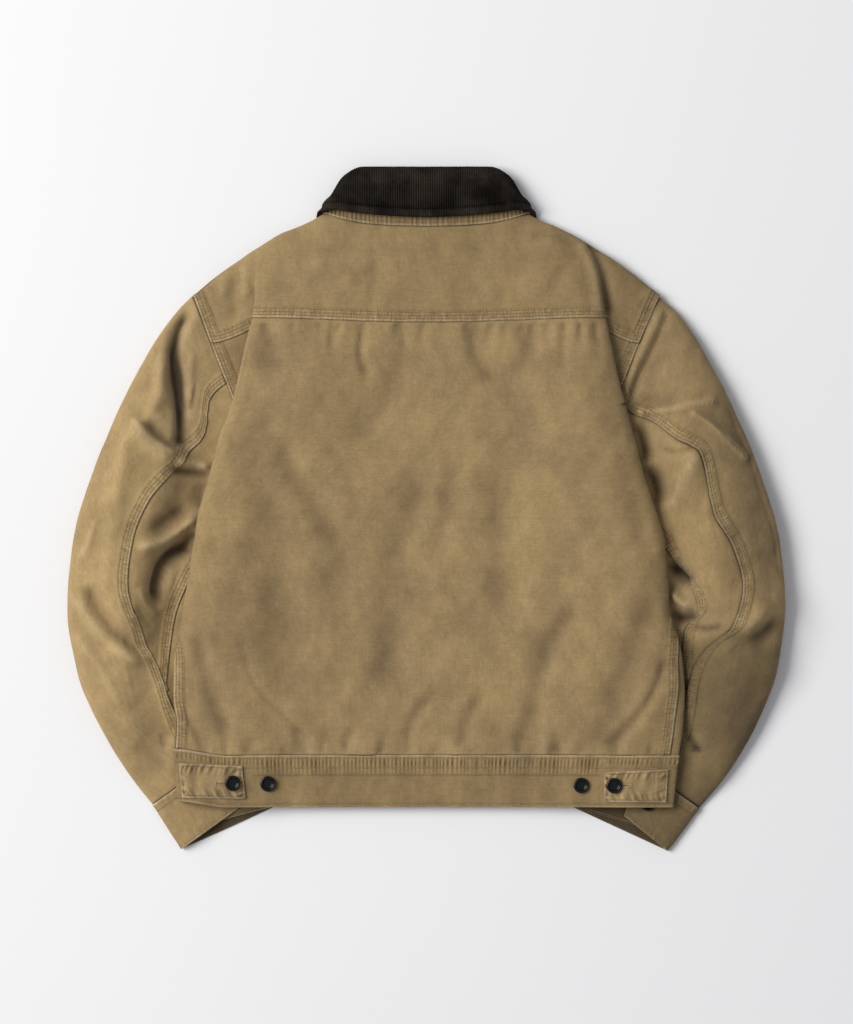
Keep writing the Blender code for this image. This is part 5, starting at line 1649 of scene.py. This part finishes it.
# darker khaki for random patches, and painted shade in deep valleys
KHAKI_PATCH_AND_SHADE = (0.228, 0.156, 0.080, 1)
# lighter khaki for worn edges, and painted highlight on the folds' crests
KHAKI_WORN_AND_HIGHLIT = (0.47, 0.36, 0.215, 1)
THREAD_LENGTH = 11  # how far one thread of the weave shows, and it is 1 mm wide
LAP_WIDTH = 10.4  # from a lapped edge to where its double ply ends


def canvas_material():
    """Washed khaki duck: its weave, its clouds and folds with painted highlight and shade, and the worn
    edges and painted shade along its seams.
    """
    s = Shader("canvas")
    weave = s.attribute("weave")[0]
    _, lap, butt, along = s.attribute("seam")
    _, lift, wear_and_highlight, dark = s.attribute("tone")
    place = s.place()
    patches = s.noise(place, 1 / 75, 3.0, 0.55)
    clouds = s.noise(s.stretched(place, (1 / 13, 1 / 27, 1 / 19)), 1.0, 3.0, 0.6)
    warp = s.noise(s.stretched(weave, (1, 1 / THREAD_LENGTH, 1)), 1.0, 2.0, 0.6)
    weft = s.noise(s.stretched(weave, (1 / THREAD_LENGTH, 1, 1)), 1.0, 2.0, 0.6)
    grain = s.noise(weave, 0.75, 3.0, 0.7)
    slubs = s.noise(place, 1 / 5, 2.0, 0.6)
    cloudy = s.times(s.varied(patches, 0.13), s.varied(clouds, 0.19), s.varied(slubs, 0.15))
    fine = s.times(s.varied(warp, 0.17), s.varied(weft, 0.17), s.varied(grain, 0.26))
    # darker khaki in random patches, and painted shade in the valleys
    depth = s.ramp(s.plus(lift, 0.2, s.times(patches, 3.2)), -1.2, 2.9)

    # a lapped seam: painted light and shade on the ripples across it, painted shade in its stitch lines,
    # and painted shade beside it
    within = s.ramp(lap, 10.0, 12.5, 1.0, 0.0)
    across = s.node("CombineXYZ", {0: s.times(along, 0.42), 1: s.times(lap, 0.10)}).outputs[0]
    ripples = s.noise(across, 1.0, 1.5, 0.5)
    rippled = s.plus(s.math("SUBTRACT", ripples, 0.5), s.times(within, 1.2), 1.0)
    stitch_lines = s.larger(*(s.hill(lap, row, 1.0) for row in STITCH_AT))
    stitched = s.plus(stitch_lines, -0.4, 1.0)
    shade = s.times(s.ramp(lap, LAP_WIDTH, 13.0, 0.86, 1.0), s.ramp(butt, 0.0, 2.4, 0.35, 1.0))
    beside = s.larger(s.math("GREATER_THAN", lap, LAP_WIDTH), s.math("LESS_THAN", butt, 3.0))
    shaded = s.plus(s.math("SUBTRACT", shade, 1.0), beside, 1.0)
    # painted shade from the dark attribute and in deep valleys, with some tone that varies at random
    painted_shade_and_tone = s.times(s.plus(dark, -0.6, 1.0), s.ramp(lift, -13.5, -6.0, 0.42, 1.0))
    tone = s.times(cloudy, fine, rippled, stitched, shaded, painted_shade_and_tone)

    # worn, lighter cloth along the folded edge, and painted highlight on the crests
    worn = s.larger(s.times(s.hill(lap, 0.5, 1.1), 0.75), wear_and_highlight)
    worn = s.times(worn, s.ramp(clouds, 0.25, 0.6, 0.45, 1.0))
    colour = s.mix(worn, s.mix(depth, KHAKI_PATCH_AND_SHADE, KHAKI), KHAKI_WORN_AND_HIGHLIT)
    threads = s.math("ADD", s.times(warp, 0.5), s.math("ADD", weft, grain))
    woven = s.bump(threads, 0.5, 0.0006)
    return s.finish(
        Base_Color=s.scaled(colour, tone),
        Roughness=s.ramp(grain, 0.2, 0.8, 0.82, 0.95),
        Normal=s.bump(s.times(ripples, within), 0.6, 0.0011, Normal=woven),
        Specular_IOR_Level=0.25, Sheen_Weight=0.12, Sheen_Roughness=0.5,
    )


CORD = (0.028, 0.0225, 0.0165, 1)
CORD_GROOVE = (0.0012, 0.001, 0.0009, 1)
CORD_WORN = (0.050, 0.040, 0.033, 1)


def corduroy_material():
    """Dark brown corduroy: painted shade between its wales, with a pile, and worn where it folds."""
    s = Shader("corduroy")
    _, wale, wear_and_highlight, dark = s.attribute("tone")
    place = s.place()
    patches = s.noise(place, 1 / 30, 3.0, 0.6)
    pile = s.noise(s.stretched(place, (1 / 0.8, 1 / 2.2, 1)), 1.0, 3.0, 0.7)
    # painted shade between the wales, and through the dark attribute in the stitch line
    colour = s.mix(s.ramp(wale, 0.5, 1.0), CORD_GROOVE, CORD)
    colour = s.mix(s.times(wear_and_highlight, s.ramp(pile, 0.3, 0.7)), colour, CORD_WORN)
    tone = s.times(s.ramp(patches, 0.3, 0.7, 0.35, 1.2), s.varied(pile, 0.5), s.plus(dark, -0.75, 1.0))
    return s.finish(
        Base_Color=s.scaled(colour, tone),
        Roughness=0.95,
        Normal=s.bump(pile, 0.4, 0.0004),
        Specular_IOR_Level=0.04,
    )


def thread_material(name, dark, light):
    """Cotton thread between two colours."""
    s = Shader(name)
    place = s.place()
    twist = s.noise(place, 2.2, 2.0)
    colour = s.mix(s.ramp(s.noise(place, 1 / 6, 2.0), 0.35, 0.65), dark, light)
    return s.finish(
        Base_Color=s.scaled(colour, s.varied(twist, 0.15)),
        Roughness=0.7,
        Normal=s.bump(twist, 0.3, 0.0002),
        Specular_IOR_Level=0.3,
    )


def resin_material():
    """The buttons' black resin."""
    s = Shader("button_resin")
    place = s.place()
    cloud = s.noise(place, 1 / 5, 3.0)
    return s.finish(
        Base_Color=s.mix(cloud, (0.0015, 0.0015, 0.002, 1), (0.006, 0.006, 0.0065, 1)),
        Roughness=s.ramp(s.noise(place, 0.9, 3.0), 0.3, 0.7, 0.14, 0.26),
        Normal=s.bump(cloud, 0.1, 0.0002),
        IOR=1.53, Specular_IOR_Level=0.3,
    )


def floor_material():
    """Plain pale paper."""
    s = Shader("studio_floor")
    soft = s.noise(s.node("TexCoord").outputs["Object"], 2.0, 2.0)
    return s.finish(
        Base_Color=s.mix(soft, (0.86, 0.86, 0.872, 1), (0.88, 0.88, 0.888, 1)),
        Roughness=0.9,
        Normal=s.bump(soft, 0.02, 0.001),
        Specular_IOR_Level=0.1,
    )


# ---------------------------------------------------------------- buttons

# Half of a button's section from its middle, as shares of its half width and its depth.
BUTTON_PROFILE = [
    (0.0, 0.40), (0.30, 0.40), (0.50, 0.44), (0.60, 0.56), (0.66, 0.82), (0.72, 0.95), (0.80, 1.0),
    (0.88, 0.97), (0.95, 0.86), (0.99, 0.68), (1.0, 0.5), (0.97, 0.3), (0.88, 0.1), (0.74, 0.0),
    (0.0, 0.0),
]
BUTTON_TURN = 40  # vertices round a button


def button(name, place, material, up=1.0):
    """A dished button turned about +Z, with its back on the place given."""
    r = BUTTON_WIDTH / 2
    line = line_through([(a * r, 0, b * BUTTON_DEPTH) for a, b in BUTTON_PROFILE[1:-1]], per_span=2)
    turn = np.linspace(0, 2 * math.pi, BUTTON_TURN, endpoint=False)
    rings = [
        np.stack([x * np.cos(turn), x * np.sin(turn), np.full(BUTTON_TURN, z)], axis=1)
        for x, _, z in line
    ]
    centre = [[0, 0, BUTTON_PROFILE[0][1] * BUTTON_DEPTH], [0, 0, 0]]
    vertices = np.concatenate([*rings, centre]) * [1, 1, up] + place
    index = np.arange(len(rings) * BUTTON_TURN).reshape(len(rings), BUTTON_TURN)
    beside = np.roll(index, -1, axis=1)
    quads = np.stack([index[:-1], index[1:], beside[1:], beside[:-1]], axis=-1).reshape(-1, 4)
    faces = quads.tolist()
    faces += [[index.size, int(a), int(b)] for a, b in zip(index[0], beside[0])]
    faces += [[index.size + 1, int(b), int(a)] for a, b in zip(index[-1], beside[-1])]
    if up < 0:
        faces = [face[::-1] for face in faces]
    return new_object(name, vertices, faces, material)


# ---------------------------------------------------------------- building the jacket

canvas = canvas_material()
corduroy = corduroy_material()
thread_finish = thread_material("thread", (0.26, 0.18, 0.085, 1), (0.40, 0.30, 0.165, 1))
hole_finish = thread_material("buttonhole_thread", (0.36, 0.26, 0.13, 1), (0.56, 0.45, 0.28, 1))
resin = resin_material()
thread = Thread()
holes = Thread()
pieces = {}

BROAD_RIPPLE = 1.2  # mm that the open cloth ripples over its form
ENDS = ("first_col", "last_col")


def make(cloth, material=canvas, slot="canvas"):
    """Builds a cloth piece, which stands for the CAD piece of its name."""
    node = cloth.name.removesuffix("_cloth")
    cloth.make(material, slot)
    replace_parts(cloth.obj, node)
    pieces[node] = cloth


def make_body():
    """The back, and the yoke, which laps over it. Both lap over the sleeves and the fronts."""
    back = Cloth("back_cloth", back_grid(), 1, CANVAS, body_folds, BROAD_RIPPLE, seed=11)
    back.butted("last_row")
    back.butted("first_row")
    low = np.where(back.flat[..., 1] < UNDERARM, 1.0, 0.0)
    for edge in ENDS:
        back.lapped(edge, where=low, rows=(1.8, 7.2), width=8.8)
        back.lapped(edge, where=1 - low)
    # painted shade, darker towards the back's right side, away from the light
    back.dark += 0.17 * ease((back.flat[..., 0] - 110) / 130)
    make(back)

    yoke = Cloth("yoke_cloth", yoke_grid(), 1, CANVAS, yoke_folds, BROAD_RIPPLE, seed=11)
    for edge in ("first_row", *ENDS):
        yoke.lapped(edge)
    yoke.butted("last_row")
    # darker overall, and painted shade that deepens towards the right side, away from the light
    yoke.dark = np.clip(yoke.dark + 0.13 + 0.13 * yoke.flat[..., 0] / 150, 0, 1)
    make(yoke)

    underarm = int(np.flatnonzero(back.flat[:, 0, 1] > UNDERARM)[0])
    for edge in ENDS:
        stitch_edge(thread, back, edge, DOUBLE, 2, underarm)
        stitch_edge(thread, back, edge, TRIPLE, underarm, -1)
        stitch_edge(thread, yoke, edge, TRIPLE, 1, -1)
    stitch_edge(thread, yoke, "first_row", TRIPLE, 1, -1)


def make_front(side, sign):
    """A plain front, which runs in under the back at its side."""
    front = Cloth(f"front_{side}_cloth", front_grid(side), -sign, CANVAS, ripple=0.15)
    front.butted("last_col")
    make(front)


HEM_GATHER = 4.4  # from one ripple of the hem band's stitched strip to the next
TAB_START = 184.0  # how far from the middle the tabs lie on the band


def make_hem_band():
    """The hem band: its top strip ripples between the stitch rows, and it is plain under the tabs."""
    hem = Cloth("hem_band_cloth", band_grid(), -1, BAND_CLOTH, ripple=0.25, seed=31)
    depth, along = edge_away(hem.flat, "first_row")
    hem.lap_over("first_row", depth, 1.0, LAP_LIFT)
    clear = 1 - ease((np.abs(hem.flat[..., 0]) - TAB_START) / 8) * ease((depth - 6) / 5)
    strip = ease(depth) * (1 - ease((depth - 19.2) / 1.4))
    gathers = np.sin(2 * math.pi * along / HEM_GATHER + 1.8 * wander(along, 26, 41))
    gathers = gathers * (0.9 + 0.4 * wander(along, 34, 42)) + 0.4 * wander(along, 9, 43)
    gathers = gathers * (bell(depth, 7.4, 4.6) + 0.45 * bell(depth, 16.5, 2.6))
    rows = [BAND_DEPTHS[i] for i in BAND_STITCHES]
    hem.relief += (0.55 * strip + 0.7 * gathers) * clear
    hem.relief -= sum(0.45 * bell(depth, row, 0.7) for row in rows)
    hem.relief += 0.25 * bell(depth, 0.9, 0.7) + 0.3 * ease((depth - 53.2) / 1.2)
    hem.wear_and_highlight = bell(depth, 0, 1.1) + 0.55 * bell(depth, BAND_DEPTHS[-1], 1.3)
    # painted light and shade on the gathers, painted shade along the facing's edge and in the stitch
    # rows, a darker band overall, and tone that varies at random
    hem.dark = 0.26 + np.clip(-0.7 * gathers, -0.2, 0.6) * clear
    hem.dark += 0.14 * wander(along, 34, 44) + 0.08 * waves(hem.flat, 13, 45)
    hem.dark += 0.3 * bell(depth, 20.6, 1.0) * clear + sum(0.28 * bell(depth, row, 0.8) for row in rows)
    make(hem)
    stitch_edge(thread, hem, "first_row", BAND_STITCHES, 2, -2)


TAB_ROW = 2.6  # how far in from a tab's edges its stitches lie
TAB_ROOT_ROW = 14.0  # and the row across it, from its sewn end
BUTTONHOLE = (7.5, 17.5)  # from the button's middle, how far out the buttonhole's threads run


def make_tab(side, sign):
    """A hem tab: stitched round its edge and across its root, with a buttonhole beside its button."""
    tab = Cloth(f"tab_{side}_cloth", tab_grid(side), 1, TAB_CLOTH, ripple=0.0, seed=51)
    edges = [edge_away(tab.flat, edge) for edge in EDGES]
    away = np.minimum.reduce([near for near, _ in edges])
    root = edges[2 if sign < 0 else 3][0]
    x, y = tab.flat[..., 0], tab.flat[..., 1]
    ripples = 0.9 * waves(np.stack([x, 0.3 * y], axis=-1), 12.0, 53 + sign)
    for i, (near, run) in enumerate(edges):
        gathers = 1.1 * wander(run + 0.4 * near, 5.5, 57 + 4 * sign + i)
        ripples = ripples + gathers * bell(near, 4, 6)
    tab.relief += 1.1 * ripples * ease((away - 1.2) / 3) - 0.3 * bell(away, TAB_ROW, 0.7)
    tab.relief -= 0.4 * bell(root, TAB_ROOT_ROW, 0.9)
    # worn edges, and painted highlight on the ripples' crests
    uneven = 0.95 + 0.5 * waves(tab.flat, 7.0, 61)
    tab.wear_and_highlight = np.clip(uneven * bell(away, 0, 1.3) + 0.3 * ripples * ease(away / 3), 0, 1)
    button_x, button_y = HEM_BUTTONS[side]["tab"]
    out = np.abs(x) - abs(button_x)
    slit = bell(y, button_y, 0.7) * ease(out / 2) * (1 - ease((out - 16) / 1.5))
    # painted shade in the stitch row's groove, in the ripples' troughs and in the buttonhole's slit
    creased = 0.5 * bell(away, TAB_ROW, 0.8) + np.clip(-0.5 * ripples, -0.15, 0.5)
    tab.dark = np.clip(creased + 0.9 * slit, 0, 1)
    tab.relief -= 0.4 * slit
    make(tab)

    for edge in EDGES:
        stitch_edge(thread, tab, edge, (3,), 3, -3)
    surface = tab.outer() + 0.1 * tab.normal
    column = int(np.argmin(np.abs(root[0] - TAB_ROOT_ROW)))
    thread.row(surface[3:-3, column], tab.normal[3:-3, column])
    lips = [(out, off) for out in np.arange(*BUTTONHOLE, 0.7) for off in (-1.25, 1.25)]
    bar = [(18.4, off) for off in np.arange(-2.4, 2.5, 0.6)]
    for places, way, length in ((lips, [0.0, 1.0, 0.0], 2.3), (bar, [1.0, 0.0, 0.0], 2.2)):
        spots = [
            on_surface(surface, sign * (abs(button_x) + out), button_y + off) for out, off in places
        ]
        ways, ups = (np.tile(one, (len(spots), 1)) for one in (way, [0.0, 0.0, 1.0]))
        holes.stitch(np.array(spots), ways, ups, length, 0.8, 0.9)


def make_collar_stand():
    """The collar's canvas stand, with its rippled and stitched lower edge."""
    stand = Cloth("collar_stand_cloth", collar_stand_grid(), -1, CANVAS, ripple=0.1, seed=61)
    away, along = edge_away(stand.flat, "first_col")
    stand.lap_over("first_col", away, 1.0, 1.0)
    ripples = wander(along, 3.2, 63)
    stand.relief += 0.7 * ripples * ease(away / 2)
    # painted shade along the stitch line, in the ripples' troughs and over the stand under the leaf
    stand.dark = 0.3 * bell(away, 2.0, 0.7) + np.clip(0.4 - 0.5 * ripples, 0, 0.8)
    stand.wear_and_highlight = 0.8 * bell(away, 0, 1.0)
    make(stand)
    thread.row(stand.outer()[:, 2], stand.normal[:, 2])


def make_collar_leaf():
    """The collar's corduroy leaf: wales up and down the back, a row near its edge, and worn folds."""
    leaf = Cloth("collar_leaf_cloth", collar_leaf_grid(), -1, CORDUROY, ripple=0.25, seed=71)
    away, _ = edge_away(leaf.flat, "first_col")
    roll_away, _ = edge_away(leaf.flat, "last_col")
    middle = leaf.flat[:, leaf.flat.shape[1] // 2]
    round_neck = lengths(middle)
    round_neck = round_neck - np.interp(0, middle[:, 0], round_neck)
    back_part = 1 - ease((np.abs(middle[:, :1]) - 98) / 10)
    phase = round_neck[:, None] + back_part * (leaf.flat[..., 0] - middle[:, :1])
    wale = np.sqrt(np.abs(np.cos(math.pi * phase / WALE)) + 1e-4)
    stitch_line = bell(away, 9.2, 0.9)
    leaf.relief += 0.75 * (wale - 0.7) * back_part - 0.7 * stitch_line
    leaf.relief += 0.35 * bell(away, 4.5, 3.0) - 0.35 * (1 - ease(away / 1.2))
    leaf.lift = wale
    # painted shade in the stitch line's groove
    leaf.dark = 0.8 * stitch_line
    leaf.wear_and_highlight = 0.5 * bell(away, 4.0, 4.0) + 0.35 * bell(roll_away, 14, 9)
    make(leaf, corduroy, "corduroy")


SLEEVE_PAINTED_SHADE = {"left": -0.24, "right": 0.09}  # painted shade on each sleeve over the body's tone; painted light where negative
FOREARM_PAINTED_SHADE = {"left": -0.25, "right": 0.62}  # and more painted shade on the forearm beyond that
CUFF_PAINTED_SHADE = {"left": 0.35, "right": 0.0}  # and on the cuff beyond that
SEAM_DARK = {"left": 0.1, "right": 0.6}  # the grooves beside its seams, which the light reaches less


def make_sleeve(side, sign):
    """A sleeve's outer panel, its elbow panel, and the panel under both."""
    folds = sleeve_folds(side)
    panels = {}
    for name, grid in sleeve_panels(side).items():
        name = f"sleeve_{side}_{name}_cloth"
        panels[name] = Cloth(name, grid, sign, CANVAS, folds, BROAD_RIPPLE, seed=81)
    outer, elbow, under = panels.values()
    outer.lapped("last_col")
    outer.butted("first_row")
    outer.butted("last_row")
    elbow.butted("first_col")
    elbow.lapped("last_col")
    under.butted("first_col")
    for cloth in panels.values():
        # painted shade on the right sleeve and painted light on the left, more on the forearm, and
        # painted shade beside the seams
        grooves = bell(cloth.butt, 0, 2.6) + 0.8 * bell(cloth.lap, 0, 1.3)
        cloth.dark += SLEEVE_PAINTED_SHADE[side] + FOREARM_PAINTED_SHADE[side] * ease((-120 - cloth.flat[..., 1]) / 40)
        cloth.dark += SEAM_DARK[side] * grooves
        make(cloth)
    stitch_edge(thread, outer, "last_col", TRIPLE, 1, -2)
    stitch_edge(thread, elbow, "last_col", TRIPLE, 1, -8)


def make_cuff(side, sign):
    """A cuff, rippled along its two stitched edges, with painted shade inside its open end."""
    cuff = Cloth(f"cuff_{side}_cloth", cuff_grid(side), -sign, BAND_CLOTH, ripple=0.12, seed=91)
    away, along = edge_away(cuff.flat, "first_row")
    open_away, _ = edge_away(cuff.flat, "last_row")
    flap_away, _ = edge_away(cuff.flat, "first_col")
    seam_row, open_row = bell(away, 8, 0.8), bell(open_away, 2.8, 0.8)
    cuff.relief -= 0.4 * seam_row + 0.3 * open_row
    cuff.lap_over("first_row", away, 1.0, 1.5)
    ripples = wander(along, 5.0, 93) * (bell(away, 0, 9) + bell(open_away, 0, 7))
    ripples = ripples + 0.5 * waves(cuff.flat, 11.0, 94)
    cuff.relief += 0.5 * ripples * ease(away / 2) * ease(open_away / 2)
    # worn edges, and painted highlight on the ripples' crests
    uneven = 0.7 + 0.5 * waves(cuff.flat, 9.0, 95)
    nearest = np.minimum.reduce([open_away, flap_away, away])
    cuff.wear_and_highlight = np.clip(uneven * bell(nearest, 0, 1.4) + 0.2 * ripples, 0, 1)
    # the sleeve's painted shade, painted light where negative, more painted shade in the stitch rows,
    # and painted shade inside the open end
    turn = np.linspace(0, 1, CUFF_COLUMNS)
    inside = ease((turn - 0.46) / 0.04) * (1.0 - 0.5 * ease((turn - 0.8) / 0.03))
    shade = 1.5 * inside * bell(np.maximum(open_away - 1.5, 0), 0, 26)
    base = SLEEVE_PAINTED_SHADE[side] + FOREARM_PAINTED_SHADE[side] + CUFF_PAINTED_SHADE[side]
    cuff.dark = np.clip(base + 0.3 * (seam_row + open_row) + shade, -0.3, 1.3)
    make(cuff)
    stitch_edge(thread, cuff, "first_row", CUFF_STITCHES, 2, -2)


def place_button(name, place, up=1.0):
    """A button in the place of the CAD one of its name."""
    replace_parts(button(name + "_resin", place, resin, up), name)


make_body()
for side, sign in SIDES.items():
    make_front(side, sign)
make_hem_band()
for side, sign in SIDES.items():
    make_tab(side, sign)
make_collar_stand()
make_collar_leaf()
for side, sign in SIDES.items():
    make_sleeve(side, sign)
    make_cuff(side, sign)
thread.make("topstitching", thread_finish)
holes.make("buttonhole_thread", hole_finish)

BUTTON_GAP = 0.4  # from a button's back to the cloth that it is sewn to
for side, sign in SIDES.items():
    for kind, (x, y) in HEM_BUTTONS[side].items():
        lift = SEAM_GAP + (TAB_CLOTH + SEAM_GAP if kind == "tab" else 0.0)
        place_button(f"button_hem_{side}_{kind}", on_band(sign * abs(x), y, lift + BUTTON_GAP))
    x, y = CUFF_BUTTON[side]
    place_button(f"button_cuff_{side}", (sign * x, y, CUFF_BUTTON_HEIGHT))
for i, y in enumerate(FRONT_BUTTON_HEIGHTS):
    place_button(f"button_front_{i + 1}", (0.0, y, 0.1 + BUTTON_DEPTH), up=-1.0)

for cloth in pieces.values():
    width, length, area = cloth.size()

# ---------------------------------------------------------------- floor, light and camera, in metres

FLOOR_SIZE = 9.0
FILL_COLOUR = (0.93, 0.95, 1.0, 1)
FILL_STRENGTH = 0.37
KEY_SIZE = 3.6
KEY_PLACE = (-4.05, 1.30, 4.20)
KEY_POWER = 362.0
KEY_COLOUR = (1.0, 0.985, 0.96)
SENSOR = 36.0  # width of the camera's sensor, in mm
CAMERA_PLACE = (0.0, -0.0022, 5.0)
FRAME_HEIGHT = 1.116  # of the floor that the picture takes in, along its longer side

scene = bpy.context.scene
bpy.ops.mesh.primitive_grid_add(x_subdivisions=2, y_subdivisions=2, size=FLOOR_SIZE)
floor = bpy.context.object
floor.name = "floor"
floor.data.materials.append(floor_material())

scene.world = bpy.data.worlds.new("studio")
scene.world.use_nodes = True
fill = scene.world.node_tree.nodes["Background"]
fill.inputs["Color"].default_value = FILL_COLOUR
fill.inputs["Strength"].default_value = FILL_STRENGTH

key = bpy.data.lights.new("key", "AREA")
key.shape = "SQUARE"
key.size = KEY_SIZE
key.energy = KEY_POWER
key.color = KEY_COLOUR
key_light = bpy.data.objects.new("key", key)
key_light.location = KEY_PLACE
key_x, key_y, key_z = KEY_PLACE
tilt = math.acos(key_z / math.dist((0, 0, 0), KEY_PLACE))
key_light.rotation_euler = (tilt, 0, math.atan2(-key_y, -key_x) - math.pi / 2)
scene.collection.objects.link(key_light)

camera_data = bpy.data.cameras.new("camera")
camera_data.sensor_width = SENSOR
camera_data.lens = SENSOR * CAMERA_PLACE[2] / FRAME_HEIGHT
camera = bpy.data.objects.new("camera", camera_data)
camera.location = CAMERA_PLACE
scene.collection.objects.link(camera)
scene.camera = camera
scene.view_settings.view_transform = "Standard"

bpy.context.view_layer.update()
